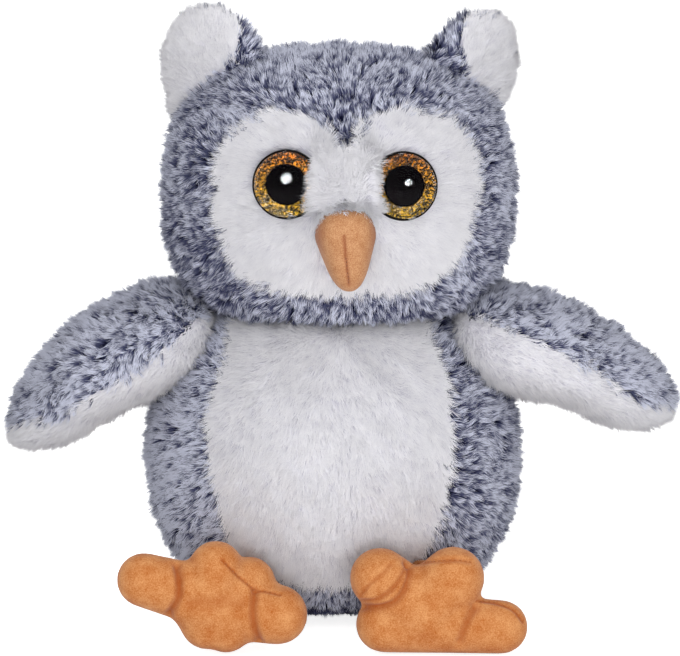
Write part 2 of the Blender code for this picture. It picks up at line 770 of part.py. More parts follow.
def make_wing(side):
    """Grey upper and white under panels round a filling; returns the socket."""
    sign = SIDES[side]
    shape = wing_shape(side)
    hinge = Vector((sign * SHOULDER_OUT, SHOULDER_Y, SHOULDER_HEIGHT))
    lean = math.radians(90) + WING_DROOP[side]
    place = Matrix.Translation(hinge) @ Matrix.Rotation(sign * lean, 4, "Y")
    core = add_object(f"wing_{side}_core", swollen(wing_swell(PLUSH), WING_CORE_GRID, shape), place)
    dent = body_side_at_lowest(side, hinge)
    reach = WING_LENGTH + OVERRUN
    half_seam = SEAM_GAP / 2
    for part, finish, way in (("upper", GREY_PLUSH, -sign), ("under", WHITE_PLUSH, sign)):
        panel = add_object(
            f"wing_{side}_{part}_panel", swollen(wing_swell(0), WING_GRID, shape), place, finish=finish
        )
        near, far = sorted((-way * reach, way * half_seam))
        bm = block((near, -reach, -reach), (far, reach, reach))
        other = add_object(f"wing_{side}_not_{part}", bm, place)
        cut(cut(cut(panel, core), other), dent)
    filling = swollen(wing_swell(PLUSH + FIT_GAP), WING_CORE_GRID, shape)
    add_object(f"wing_{side}_stuffing", filling, place, finish=FILLING)
    return root_ball(f"wing_{side}_socket", hinge, JOINT_GAP)


def foot_lobes(side, depth):
    """The pad and the toes of one foot, drawn in by a depth."""
    halves = (PAD_HALF_WIDTH - depth, FOOT_HALF_THICKNESS - depth, PAD_HALF_HEIGHT - depth)
    lobes = [Lobe(Vector((0, 0, 0)), Vector(halves))]
    shares = zip(TOE_ANGLES[side], TOE_REACH_SHARES[side], TOE_RADIUS_SHARES[side])
    for degrees, reach_share, radius_share in shares:
        angle = math.radians(degrees)
        radius = TOE_RADIUS * radius_share
        length = TOE_REACH * reach_share - radius
        lobes.append(Toe(Vector((math.cos(angle), 0, math.sin(angle))), length, radius - depth))
    return lobes


def even_angles(lobes, count):
    """Angles in the XZ plane that space an outline's points evenly."""
    angles = [math.tau * step / MEASURED_POINTS for step in range(MEASURED_POINTS + 1)]
    ways = [Vector((math.cos(a), 0, math.sin(a))) for a in angles]
    points = [way * blended([lobe.reach(way) for lobe in lobes], TOE_BLEND) for way in ways]
    lengths = [0.0]
    for start, end in zip(points, points[1:]):
        lengths.append(lengths[-1] + (end - start).length)
    chosen = []
    for step in range(count):
        target = lengths[-1] * step / count
        chosen.append(angles[next(i for i, length in enumerate(lengths) if length >= target)])
    return chosen


def lobed(side, depth, ankle=None):
    """A sphere's mesh, moved out to the far side of a foot's lobes."""
    lobes = foot_lobes(side, depth)
    if ankle:
        lobes.append(Toe(ankle.normalized(), ankle.length, HIP_RADIUS - depth))
    segments, rings = FOOT_GRID
    angles = even_angles(foot_lobes(side, 0), segments)
    bm = bmesh.new()
    bmesh.ops.create_uvsphere(bm, u_segments=segments, v_segments=rings, radius=1)
    for vert in bm.verts:
        flat = math.hypot(vert.co.x, vert.co.y)
        turn = math.atan2(vert.co.y, vert.co.x) / math.tau * segments
        angle = angles[round(turn) % segments]
        depth_share = SOLE_DEPTH_SHARE if vert.co.z > 0 else UPPER_DEPTH_SHARE
        way = Vector((flat * math.cos(angle), -vert.co.z * depth_share, flat * math.sin(angle)))
        way.normalize()
        vert.co = way * blended([lobe.reach(way) for lobe in lobes], TOE_BLEND)
    return faceted(bm)


def heel_drop(side):
    """How far the lowest point of a foot lies below the middle of its pad."""
    form = lobed(side, 0)
    lowest = min(vert.co.z for vert in form.verts)
    form.free()
    return -lowest


def make_foot(side):
    """Velour sole and upper panels round a filling; returns the hip socket."""
    sign = SIDES[side]
    hip = Vector((sign * HIP_OUT, HIP_Y, HIP_HEIGHT))
    pad = Vector((sign * FOOT_OUT[side], FOOT_Y, FOOT_FLOOR_GAP + heel_drop(side)))
    facing = Matrix.Rotation(sign * FOOT_FACING, 4, "Z")
    holder = empty_at(f"hip_{side}", hip)
    place = Matrix.Translation(pad - hip) @ facing
    ankle = facing.to_3x3().inverted() @ (hip - pad)
    core = add_object(f"foot_{side}_core", lobed(side, VELOUR, ankle), place, holder)
    reach = TOE_REACH + OVERRUN
    half_seam = SEAM_GAP / 2
    for part, near, far in (("sole", -half_seam, reach), ("upper", -reach, half_seam)):
        outer = lobed(side, 0, ankle)
        panel = add_object(f"foot_{side}_{part}_panel", outer, place, holder, ORANGE_VELOUR)
        bm = block((-reach, near, -reach), (reach, far, reach))
        other = add_object(f"foot_{side}_not_{part}", bm, place, holder)
        cut(cut(panel, core), other)
    filling = lobed(side, VELOUR + FIT_GAP, ankle)
    add_object(f"foot_{side}_stuffing", filling, place, holder, FILLING)
    ball = HIP_RADIUS + JOINT_GAP
    socket = swollen(Swell(ball, ball, ball, ball, ball), SOCKET_GRID)
    return add_object(f"hip_{side}_socket", socket, Matrix.Translation(hip))


def main():
    """Builds the whole toy."""
    clear_scene()
    wing_sockets = {side: make_wing(side) for side in SIDES}
    hip_sockets = {side: make_foot(side) for side in SIDES}
    make_body(wing_sockets, hip_sockets)
    neck = empty_at("neck", (UPPER_SHIFT, 0, HEAD_CENTRE_HEIGHT), HEAD_TURN)
    make_head(neck)
    bpy.context.view_layer.update()


main()
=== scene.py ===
"""Looks of the seated plush owl: pile, velour, glitter eyes, studio and camera.

Every length is in metres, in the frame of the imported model. Each stuffed form
gets a cloth cover, blown up by a short cloth simulation, and each plush panel
gets a pile of tapered tufts planted on that cover. Places read off the
photograph are kept in its pixels and turned into real ones by Viewpoint.
"""

import json
import logging
import math
from dataclasses import dataclass, field
from enum import Enum
from typing import Callable, Optional, Sequence

import bpy
import numpy as np
from mathutils import Matrix, Vector, kdtree

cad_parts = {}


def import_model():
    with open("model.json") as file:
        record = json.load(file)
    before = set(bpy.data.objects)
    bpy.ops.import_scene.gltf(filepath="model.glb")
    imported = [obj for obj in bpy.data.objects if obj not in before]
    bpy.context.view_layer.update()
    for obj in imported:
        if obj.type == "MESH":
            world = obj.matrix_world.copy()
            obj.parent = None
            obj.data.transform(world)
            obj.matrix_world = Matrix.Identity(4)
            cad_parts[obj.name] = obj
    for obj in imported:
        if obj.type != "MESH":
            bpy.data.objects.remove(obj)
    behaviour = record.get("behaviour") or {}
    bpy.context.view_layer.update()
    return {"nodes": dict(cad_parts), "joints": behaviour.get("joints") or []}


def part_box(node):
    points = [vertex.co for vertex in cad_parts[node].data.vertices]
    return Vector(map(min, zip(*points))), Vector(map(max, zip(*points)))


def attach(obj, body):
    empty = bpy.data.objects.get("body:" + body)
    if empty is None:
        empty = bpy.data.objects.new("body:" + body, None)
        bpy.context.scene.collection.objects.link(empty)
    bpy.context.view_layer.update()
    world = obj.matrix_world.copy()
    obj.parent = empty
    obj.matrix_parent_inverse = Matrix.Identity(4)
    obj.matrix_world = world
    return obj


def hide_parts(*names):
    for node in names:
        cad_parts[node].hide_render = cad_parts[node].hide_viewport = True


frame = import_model()

LOG = logging.getLogger("plush_owl")
MM = 0.001
TINY = 1e-9
Array = np.ndarray
Pixel = tuple[float, float]
Colour = tuple[int, int, int]
Reshape = Callable[[Array], Array]
Comb = Callable[[Array, Array], Array]
PILE_MAP = "OFBake"
# attribute that carries painted shade into the hollows of folds and the beak's sides
CREASE_SHADE = "crease"
WAVE = 4 * MM
FINE_WAVE = 0.9 * MM


class Side(Enum):
    """The toy's own left and right; its left is the viewer's right."""

    LEFT = "left"
    RIGHT = "right"

    @property
    def sign(self) -> int:
        """+1 towards the toy's left, -1 towards its right."""
        return 1 if self is Side.LEFT else -1


# Arrays and places


def unit(ways: Array) -> Array:
    """Rows scaled to length one."""
    return ways / np.maximum(np.linalg.norm(ways, axis=-1, keepdims=True), TINY)


def moved(points: Array, place: Matrix) -> Array:
    """Rows of points taken through a 4 x 4 matrix."""
    matrix = np.array(place)
    return points @ matrix[:3, :3].T + matrix[:3, 3]


def ripple(points: Array, wavelength: float, seed: int, waves: int = 7) -> Array:
    """Smooth noise between about -1 and 1.

    Args:
        points: Rows of places.
        wavelength: The usual distance between crests.
        seed: Which noise.
        waves: How many sine waves are summed.

    Returns:
        One value for each point.
    """
    rng = np.random.default_rng(seed)
    total = np.zeros(len(points))
    for _ in range(waves):
        heading = unit(rng.normal(size=3)) * math.tau / (wavelength * rng.uniform(0.7, 1.4))
        total += np.sin(points @ heading + rng.uniform(0, math.tau))
    return total / math.sqrt(waves)


def blended(before: Array, here: Array, after: Array, beyond: Array, t: Array) -> Array:
    """Points of a smooth curve from here to after.

    Args:
        before: The corners one back.
        here: The corners where t is zero.
        after: The corners where t is one.
        beyond: The corners one on.
        t: How far along, from 0 to 1.

    Returns:
        The points, in rows.
    """
    return 0.5 * (
        2 * here
        + (after - before) * t
        + (2 * before - 5 * here + 4 * after - beyond) * t**2
        + (3 * here - before - 3 * after + beyond) * t**3
    )


def closed_curve(corners: Sequence[Pixel], steps: int = 8) -> Array:
    """Draws a smooth closed curve through corners.

    Args:
        corners: Pixels in order round the outline.
        steps: Points from one corner to the next.

    Returns:
        The curve's points, in rows.
    """
    here = np.array(corners, float)
    before, after, beyond = (np.roll(here, turn, axis=0) for turn in (1, -1, -2))
    parts = [blended(before, here, after, beyond, t) for t in np.linspace(0, 1, steps, endpoint=False)]
    return np.stack(parts, axis=1).reshape(-1, 2)


def open_curve(corners: Sequence[Pixel], steps: int = 8) -> Array:
    """Draws a smooth open curve through corners.

    Args:
        corners: Pixels in order along the line.
        steps: Points from one corner to the next.

    Returns:
        The curve's points, in rows, with both ends.
    """
    knots = np.array(corners, float)
    padded = np.concatenate([[2 * knots[0] - knots[1]], knots, [2 * knots[-1] - knots[-2]]])
    t = np.linspace(0, 1, steps, endpoint=False)[:, None]
    parts = [blended(*run, t) for run in zip(padded, padded[1:], padded[2:], padded[3:])]
    return np.concatenate([*parts, knots[-1:]])


def gap_to(curve: Array, places: Array) -> Array:
    """Measures how far each place lies from an open curve.

    Args:
        curve: Points of the curve, in rows.
        places: Rows of places.

    Returns:
        One distance for each place.
    """
    least = np.full(len(places), np.inf)
    for start, end in zip(curve, curve[1:]):
        run = end - start
        share = np.clip((places - start) @ run / max(run @ run, TINY), 0, 1)
        least = np.minimum(least, np.linalg.norm(places - start - share[:, None] * run, axis=1))
    return least


def inside(curve: Array, places: Array) -> Array:
    """Finds the places that lie within a closed curve.

    Args:
        curve: Points of the curve, in rows.
        places: Rows of places.

    Returns:
        True or False for each place.
    """
    x, y = places[:, 0], places[:, 1]
    within = np.zeros(len(places), bool)
    for (x0, y0), (x1, y1) in zip(curve, np.roll(curve, -1, axis=0)):
        crosses = (y0 > y) != (y1 > y)
        if y1 != y0:
            within ^= crosses & (x < (x1 - x0) * (y - y0) / (y1 - y0) + x0)
    return within


def smoothed(value: Array) -> Array:
    """Values clipped to 0..1 with eased ends."""
    share = np.clip(value, 0, 1)
    return share * share * (3 - 2 * share)


def node_box(*names: str) -> tuple[Vector, Vector]:
    """Measures the box round several CAD nodes.

    Args:
        names: The nodes.

    Returns:
        The box's low and high corners.
    """
    boxes = [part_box(name) for name in names]
    low = Vector([min(box[0][axis] for box in boxes) for axis in range(3)])
    high = Vector([max(box[1][axis] for box in boxes) for axis in range(3)])
    return low, high


def node_points(name: str) -> Array:
    """Reads a CAD node's corner points.

    Args:
        name: The node.

    Returns:
        The points, in rows.
    """
    mesh = frame["nodes"][name].data
    places = np.empty(len(mesh.vertices) * 3)
    mesh.vertices.foreach_get("co", places)
    return places.reshape(-1, 3)


def joint_place(name: str) -> Vector:
    """Where a joint's axis passes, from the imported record."""
    return next(Vector(joint["pos_m"]) for joint in frame["joints"] if joint["name"] == name)


@dataclass(frozen=True)
class Viewpoint:
    """The photograph's camera, and the way between its pixels and real places.

    One pixel is one scale wide at the target's distance.
    """

    elevation: float = math.radians(12.5)
    distance: float = 2.2
    scale: float = 0.35 * MM
    target: tuple[float, float, float] = (2.45 * MM, -20 * MM, 103.3 * MM)
    width: int = 680
    height: int = 656
    sensor: float = 36.0
    clip_end: float = 20

    def axes(self) -> tuple[Array, Array, Array]:
        """Gives the view's own directions.

        Returns:
            Right, up, and back towards the camera.
        """
        back = np.array([0, -math.cos(self.elevation), math.sin(self.elevation)])
        up = np.array([0, math.sin(self.elevation), math.cos(self.elevation)])
        return np.array([1.0, 0, 0]), up, back

    def pixels(self, points: Array) -> Array:
        """Finds where points show in the photograph.

        Args:
            points: Rows of points.

        Returns:
            Columns and rows of the photograph, one pair for each point.
        """
        right, up, back = self.axes()
        seen = points - np.array(self.target)
        zoom = self.distance / self.scale / (self.distance - seen @ back)
        return np.stack(
            [self.width / 2 + seen @ right * zoom, self.height / 2 - seen @ up * zoom], axis=1
        )

    def place(self, pixel: Pixel, y: float) -> Vector:
        """The point in the plane of that y that shows at a pixel.

        Args:
            pixel: Column and row in the photograph.
            y: How far back the point lies.

        Returns:
            The point in the row frame.
        """
        right, up, back = self.axes()
        eye = self.eye()
        across = (pixel[0] - self.width / 2) * self.scale
        rise = (self.height / 2 - pixel[1]) * self.scale
        ray = right * across + up * rise - back * self.distance
        return Vector(eye + ray * (y - eye[1]) / ray[1])

    def eye(self) -> Array:
        """Where the camera stands."""
        return np.array(self.target) + self.axes()[2] * self.distance

    def build(self) -> None:
        """Adds the camera and makes it the scene's own."""
        _, _, back = self.axes()
        data = bpy.data.cameras.new("photograph_camera")
        data.sensor_width = self.sensor
        data.lens = self.sensor * self.distance / (self.scale * self.width)
        data.clip_end = self.clip_end
        camera = bpy.data.objects.new("photograph_camera", data)
        bpy.context.scene.collection.objects.link(camera)
        way = Vector(back)
        camera.location = Vector(self.target) + way * self.distance
        camera.rotation_euler = way.to_track_quat("Z", "Y").to_euler()
        bpy.context.scene.camera = camera


VIEW = Viewpoint()


# Finishes


class Tree:
    """A node tree under construction, with short ways to add and join nodes."""

    def __init__(self, tree: bpy.types.NodeTree) -> None:
        """Takes up the tree."""
        self.tree = tree

    def node(self, kind: str, **settings: object) -> bpy.types.Node:
        """Adds a node.

        Args:
            kind: The node's type.
            settings: Values for some of its properties.

        Returns:
            The new node.
        """
        made = self.tree.nodes.new(kind)
        for name, value in settings.items():
            setattr(made, name, value)
        return made

    def link(self, start: bpy.types.NodeSocket, end: bpy.types.NodeSocket) -> None:
        """Joins an output to an input."""
        self.tree.links.new(start, end)

    def feed(self, socket: bpy.types.NodeSocket, value: object) -> None:
        """Gives an input an output to read, or a fixed value."""
        if isinstance(value, bpy.types.NodeSocket):
            self.link(value, socket)
        else:
            socket.default_value = value

    def calculated(self, operation: str, *values: object) -> bpy.types.NodeSocket:
        """Works out a number.

        Args:
            operation: What is done with the values.
            values: Outputs or fixed values, in order.

        Returns:
            The output that carries the result.
        """
        made = self.node("ShaderNodeMath", operation=operation)
        for socket, value in zip(made.inputs, values):
            self.feed(socket, value)
        return made.outputs[0]

    def stretched(
        self, value: object, low: object, high: object, ease: str = "LINEAR"
    ) -> bpy.types.NodeSocket:
        """Stretches the numbers between two ends over 0 to 1.

        Args:
            value: What is stretched.
            low: What becomes 0.
            high: What becomes 1.
            ease: How the run between them is eased.

        Returns:
            The output that carries the result.
        """
        made = self.node("ShaderNodeMapRange", interpolation_type=ease)
        for name, given in (("Value", value), ("From Min", low), ("From Max", high)):
            self.feed(made.inputs[name], given)
        return made.outputs[0]

    def mixed(self, share: object, first: object, second: object, blend: str = "MIX") -> bpy.types.NodeSocket:
        """Mixes two colours.

        Args:
            share: How much of the second there is.
            first: A colour, or an output that carries one.
            second: Another.
            blend: How they are mixed.

        Returns:
            The output that carries the result.
        """
        made = self.node("ShaderNodeMix", data_type="RGBA", blend_type=blend)
        given = iter((first, second))
        self.feed(made.inputs["Factor"], share)
        for socket in made.inputs:
            if socket.type == "RGBA":
                self.feed(socket, next(given))
        return next(socket for socket in made.outputs if socket.type == "RGBA")


class Recipe(Tree):
    """A material under construction."""

    def __init__(self, name: str) -> None:
        """Starts from a Principled shader."""
        self.material = bpy.data.materials.new(name)
        self.material.use_nodes = True
        super().__init__(self.material.node_tree)
        self.shader = self.tree.nodes["Principled BSDF"]

    def set(self, **values: object) -> None:
        """Sets the shader's own sockets, by their names in snake case."""
        for name, value in values.items():
            self.shader.inputs[name.replace("_", " ").title().replace("Ior", "IOR")].default_value = value

    def group(self, tree: bpy.types.NodeTree, **values: object) -> bpy.types.Node:
        """Places a node group.

        Args:
            tree: The group.
            values: Values for its inputs, by their names in snake case.

        Returns:
            The node that holds the group.
        """
        made = self.node("ShaderNodeGroup", node_tree=tree)
        for name, value in values.items():
            made.inputs[name.replace("_", " ").title()].default_value = value
        return made


def linear(colour: Sequence[int]) -> tuple[float, float, float, float]:
    """Turns a colour as the eye sees it into the shader's linear numbers.

    Args:
        colour: Red, green and blue, from 0 to 255.

    Returns:
        Red, green, blue and a full alpha.
    """
    shares = [value / 255 for value in colour]
    curved = [s / 12.92 if s <= 0.04045 else ((s + 0.055) / 1.055) ** 2.4 for s in shares]
    return (*curved, 1.0)


class Effects:
    """Node groups that more than one finish uses, each built once."""

    _colour = "NodeSocketColor"
    _number = "NodeSocketFloat"
    _white = (1.0, 1.0, 1.0, 1.0)

    @classmethod
    def _start(cls, name: str, inputs: dict, outputs: dict) -> tuple:
        """Makes a group with its sockets.

        Args:
            name: The group's name.
            inputs: Socket names, each with its type and usual value.
            outputs: Socket names and types.

        Returns:
            The tree under construction, and the sockets to read from and to write to.
        """
        tree = bpy.data.node_groups.new(name, "ShaderNodeTree")
        for socket, (kind, value) in inputs.items():
            made = tree.interface.new_socket(socket, in_out="INPUT", socket_type=kind)
            made.default_value = value
        for socket, kind in outputs.items():
            tree.interface.new_socket(socket, in_out="OUTPUT", socket_type=kind)
        given, result = tree.nodes.new("NodeGroupInput"), tree.nodes.new("NodeGroupOutput")
        return Tree(tree), given.outputs, result.inputs

    @classmethod
    def pile_colour(cls) -> bpy.types.NodeTree:
        """Builds or finds the root, middle and tip colours along a tuft, lighter or darker by its tone.

        Returns:
            The node group.
        """
        name, pale_from = "pile_colour", 0.86
        if name in bpy.data.node_groups:
            return bpy.data.node_groups[name]
        colour, number, white = cls._colour, cls._number, cls._white
        maker, given, result = cls._start(
            name,
            {
                "Root": (colour, white), "Middle": (colour, white), "Tip": (colour, white),
                "Bend": (number, 0.5), "Tone Shift": (number, 0.3),
            },
            {"Color": colour},
        )
        places = maker.node("ShaderNodeUVMap", uv_map=PILE_MAP)
        parts = maker.node("ShaderNodeSeparateXYZ")
        maker.link(places.outputs["UV"], parts.inputs[0])
        tone = maker.calculated("SUBTRACT", parts.outputs["X"], 0.5)
        height = maker.calculated("MULTIPLY_ADD", tone, given["Tone Shift"], parts.outputs["Y"])
        lower = maker.stretched(height, 0.0, given["Bend"], "SMOOTHSTEP")
        upper = maker.stretched(height, given["Bend"], pale_from, "SMOOTHSTEP")
        first = maker.mixed(lower, given["Root"], given["Middle"])
        maker.link(maker.mixed(upper, first, given["Tip"]), result["Color"])
        return maker.tree

    @classmethod
    def mottle(cls) -> bpy.types.NodeTree:
        """Builds or finds two colours in soft patches with a fine grain, and a height for bumps.

        Returns:
            The node group.
        """
        name, low, high = "mottle", 0.34, 0.66
        if name in bpy.data.node_groups:
            return bpy.data.node_groups[name]
        colour, number, white = cls._colour, cls._number, cls._white
        maker, given, result = cls._start(
            name,
            {
                "Dark": (colour, white), "Light": (colour, white),
                "Patch": (number, 120.0), "Grain": (number, 2500.0), "Grain Share": (number, 0.3),
            },
            {"Color": colour, "Height": number},
        )
        places = maker.node("ShaderNodeTexCoord")
        heights = []
        for scale, detail, roughness in (("Patch", 4, 0.6), ("Grain", 2, 0.5)):
            noise = maker.node("ShaderNodeTexNoise")
            noise.inputs["Detail"].default_value = detail
            noise.inputs["Roughness"].default_value = roughness
            maker.link(places.outputs["Object"], noise.inputs["Vector"])
            maker.link(given[scale], noise.inputs["Scale"])
            heights.append(noise.outputs[0])
        both = maker.node("ShaderNodeMix")
        for socket, value in zip(("Factor", "A", "B"), (given["Grain Share"], *heights)):
            maker.link(value, both.inputs[socket])
        spread = maker.stretched(both.outputs[0], low, high)
        maker.link(maker.mixed(spread, given["Dark"], given["Light"]), result["Color"])
        maker.link(heights[1], result["Height"])
        return maker.tree


class Finish:
    """A material that is built once, when it is first asked for."""

    name: str

    def material(self) -> bpy.types.Material:
        """Builds the finish, or finds it.

        Returns:
            The material.
        """
        if self.name in bpy.data.materials:
            return bpy.data.materials[self.name]
        recipe = Recipe(self.name)
        self.mix(recipe)
        return recipe.material

    def mix(self, recipe: Recipe) -> None:
        """Adds the finish's own nodes and values."""
        raise NotImplementedError(self.name)


@dataclass(frozen=True)
class PlushFinish(Finish):
    """Long pile whose colour runs from the root to the tip."""

    name: str
    root: Colour
    middle: Colour
    tip: Colour
    bend: float = 0.5
    tone_shift: float = 0.8

    def mix(self, recipe: Recipe) -> None:
        """Adds the run of colours; the pile is dull all over."""
        colour = recipe.group(
            Effects.pile_colour(), Root=linear(self.root), Middle=linear(self.middle),
            Tip=linear(self.tip), Bend=self.bend, Tone_Shift=self.tone_shift,
        )
        recipe.link(colour.outputs["Color"], recipe.shader.inputs["Base Color"])
        recipe.set(roughness=0.9, specular_ior_level=0.05)


@dataclass(frozen=True)
class ClothFinish(Finish):
    """Short napped or plain cloth in soft patches, with painted shade in its creases."""

    name: str
    dark: Colour
    light: Colour
    patch: float = 120.0
    grain: float = 2500.0
    grain_share: float = 0.3
    bump: float = 0.15
    bump_height: float = 0.2 * MM
    sheen: float = 0.4
    # crease colour: painted shade, mixed in where the crease attribute marks a hollow
    crease: Colour = (120, 60, 26)

    def mix(self, recipe: Recipe) -> None:
        """Adds patches, painted shade in the creases, and bumps."""
        mottle = recipe.group(
            Effects.mottle(), Dark=linear(self.dark), Light=linear(self.light),
            Patch=self.patch, Grain=self.grain, Grain_Share=self.grain_share,
        )
        creased = recipe.node("ShaderNodeAttribute", attribute_name=CREASE_SHADE)
        colour = recipe.mixed(creased.outputs["Fac"], mottle.outputs["Color"], linear(self.crease))
        recipe.link(colour, recipe.shader.inputs["Base Color"])
        bump = recipe.node("ShaderNodeBump")
        bump.inputs["Strength"].default_value = self.bump
        bump.inputs["Distance"].default_value = self.bump_height
        recipe.link(mottle.outputs["Height"], bump.inputs["Height"])
        recipe.link(bump.outputs[0], recipe.shader.inputs["Normal"])
        recipe.set(roughness=0.9, specular_ior_level=0.08, sheen_weight=self.sheen, sheen_roughness=0.45)


@dataclass(frozen=True)
class PlasticFinish(Finish):
    """Moulded plastic, with faint unevenness in its colour."""

    name: str
    colour: Colour
    roughness: float = 0.2
    specular: float = 0.5
    dimmer: float = 0.85

    def mix(self, recipe: Recipe) -> None:
        """Adds faint patches to the colour."""
        mottle = recipe.group(
            Effects.mottle(), Dark=linear([value * self.dimmer for value in self.colour]),
            Light=linear(self.colour), Patch=260.0, Grain=1800.0, Grain_Share=0.2,
        )
        recipe.link(mottle.outputs["Color"], recipe.shader.inputs["Base Color"])
        recipe.set(roughness=self.roughness, specular_ior_level=self.specular)


@dataclass(frozen=True)
class DomeFinish(Finish):
    """Clear plastic that lets lamps through to what lies under it."""

    name: str = "clear_dome"

    def mix(self, recipe: Recipe) -> None:
        """Adds a way straight through for shadow and diffuse rays."""
        recipe.set(roughness=0.0, ior=1.15, transmission_weight=1.0)
        path = recipe.node("ShaderNodeLightPath")
        through = recipe.calculated("MAXIMUM", path.outputs["Is Shadow Ray"], path.outputs["Is Diffuse Ray"])
        clear = recipe.node("ShaderNodeBsdfTransparent")
        mix = recipe.node("ShaderNodeMixShader")
        for socket, value in zip(mix.inputs, (through, recipe.shader.outputs[0], clear.outputs[0])):
            recipe.link(value, socket)
        recipe.link(mix.outputs[0], recipe.tree.nodes["Material Output"].inputs["Surface"])


@dataclass(frozen=True)
class GlitterFinish(Finish):
    """Metal flakes in clear binder, brown above and gold below."""

    name: str
    centre: Vector
    reach: float
    upper: Colour = (216, 118, 14)
    lower: Colour = (255, 206, 36)
    flake: float = 2200.0
    contrast: float = 3.4
    tilt: float = 1.3

    def mix(self, recipe: Recipe) -> None:
        """Adds flakes, each with its own shade and tilt."""
        places = recipe.node("ShaderNodeTexCoord").outputs["Object"]
        flakes = recipe.node("ShaderNodeTexVoronoi")
        flakes.inputs["Scale"].default_value = self.flake
        recipe.link(places, flakes.inputs["Vector"])
        parts = recipe.node("ShaderNodeSeparateXYZ")
        recipe.link(places, parts.inputs[0])
        height = recipe.stretched(parts.outputs["Z"], self.centre.z - self.reach, self.centre.z + self.reach)
        run = recipe.mixed(height, linear(self.lower), linear(self.upper))
        shade = recipe.node("ShaderNodeSeparateColor")
        recipe.link(flakes.outputs["Color"], shade.inputs[0])
        depth = recipe.calculated("POWER", shade.outputs[0], self.contrast)
        recipe.link(recipe.mixed(1.0, run, depth, "MULTIPLY"), recipe.shader.inputs["Base Color"])
        tilted = recipe.node("ShaderNodeVectorMath", operation="MULTIPLY_ADD")
        recipe.link(flakes.outputs["Color"], tilted.inputs[0])
        tilted.inputs[1].default_value = (self.tilt,) * 3
        tilted.inputs[2].default_value = (-self.tilt / 2,) * 3
        surface = recipe.node("ShaderNodeNewGeometry")
        total = recipe.node("ShaderNodeVectorMath", operation="ADD")
        recipe.link(tilted.outputs[0], total.inputs[0])
        recipe.link(surface.outputs["Normal"], total.inputs[1])
        even = recipe.node("ShaderNodeVectorMath", operation="NORMALIZE")
        recipe.link(total.outputs[0], even.inputs[0])
        recipe.link(even.outputs[0], recipe.shader.inputs["Normal"])
        recipe.set(roughness=0.32, metallic=0.75)


GREY_PILE = PlushFinish("grey_pile", (18, 18, 40), (82, 85, 116), (220, 223, 240), bend=0.48)
WHITE_PILE = PlushFinish("white_pile", (202, 200, 213), (236, 235, 241), (248, 247, 251))
GREY_BACKING = ClothFinish("grey_backing", (30, 34, 56), (52, 57, 84))
WHITE_BACKING = ClothFinish("white_backing", (216, 214, 220), (234, 232, 238))
# the velours' crease colours are painted shade for the folds' hollows and the beak's sides
ORANGE_VELOUR = ClothFinish(
    "sole_velour", (166, 90, 36), (206, 148, 96), patch=170, grain=2200, grain_share=0.5, bump=0.5,
    sheen=0.16, crease=(150, 72, 28),
)
BEAK_VELOUR = ClothFinish(
    "beak_velour", (158, 102, 64), (198, 152, 112), patch=260, grain=2600, grain_share=0.7, bump=0.4,
    sheen=0.1, crease=(132, 66, 42),
)
THREAD = ClothFinish("beak_thread", (92, 54, 34), (124, 76, 50), patch=400, grain=6000)
PALE_THREAD = ClothFinish("foot_thread", (138, 76, 34), (160, 92, 44), patch=400, grain=6000)
BLACK_PLASTIC = PlasticFinish("cup_black", (14, 11, 10), 0.6, 0.08)
PUPIL_BLACK = PlasticFinish("pupil_black", (3, 2, 3), 0.9, 0.0)
WASHER_PLASTIC = PlasticFinish("washer_plastic", (225, 225, 222), 0.4)


# Meshes


def only(piece: bpy.types.Object) -> None:
    """Selects one object and makes it active."""
    bpy.ops.object.select_all(action="DESELECT")
    piece.select_set(True)
    bpy.context.view_layer.objects.active = piece


def new_piece(name: str, points: Array, faces: Sequence) -> bpy.types.Object:
    """Makes a smooth-shaded mesh and links it as an object at the origin.

    Args:
        name: The piece's name.
        points: Its corners, in rows.
        faces: The corners of each face.

    Returns:
        The new piece.
    """
    mesh = bpy.data.meshes.new(name)
    mesh.from_pydata(points, [], faces)
    mesh.shade_smooth()
    piece = bpy.data.objects.new(name, mesh)
    bpy.context.scene.collection.objects.link(piece)
    return piece


def get_points(piece: bpy.types.Object) -> Array:
    """Reads a piece's corner points.

    Args:
        piece: The piece.

    Returns:
        The points, in rows.
    """
    places = np.empty(len(piece.data.vertices) * 3)
    piece.data.vertices.foreach_get("co", places)
    return places.reshape(-1, 3)


def set_points(piece: bpy.types.Object, places: Array) -> None:
    """Moves a piece's corner points."""
    piece.data.vertices.foreach_set("co", np.ascontiguousarray(places, dtype=np.float32).ravel())
    piece.data.update()


def apply(piece: bpy.types.Object, kind: str, **settings: object) -> None:
    """Adds a modifier and applies it.

    Args:
        piece: What is changed.
        kind: The modifier's type.
        settings: Values for some of its properties.
    """
    step = piece.modifiers.new(kind.lower(), kind)
    for name, value in settings.items():
        setattr(step, name, value)
    only(piece)
    bpy.ops.object.modifier_apply(modifier=step.name)


def lathe(
    name: str, profile: Sequence[tuple[float, float]], place: Matrix, steps: int = 96
) -> bpy.types.Object:
    """Spins a profile into a closed solid.

    Args:
        name: The piece's name.
        profile: Radius and height of each point, from the axis round to the axis.
        place: Where the piece's own axis Z and origin go.
        steps: Facets round the axis.

    Returns:
        The new piece.
    """
    edges = [(i, i + 1) for i in range(len(profile) - 1)]
    mesh = bpy.data.meshes.new(name)
    mesh.from_pydata([(radius, 0, height) for radius, height in profile], edges, [])
    piece = bpy.data.objects.new(name, mesh)
    bpy.context.scene.collection.objects.link(piece)
    only(piece)
    bpy.ops.object.mode_set(mode="EDIT")
    bpy.ops.mesh.select_all(action="SELECT")
    bpy.ops.mesh.spin(steps=steps, angle=math.tau, center=(0, 0, 0), axis=(0, 0, 1))
    bpy.ops.mesh.select_all(action="SELECT")
    bpy.ops.mesh.remove_doubles(threshold=0.01 * MM)
    bpy.ops.mesh.normals_make_consistent(inside=False)
    bpy.ops.object.mode_set(mode="OBJECT")
    bpy.ops.object.shade_smooth_by_angle(angle=math.radians(40))
    mesh.transform(place)
    return piece


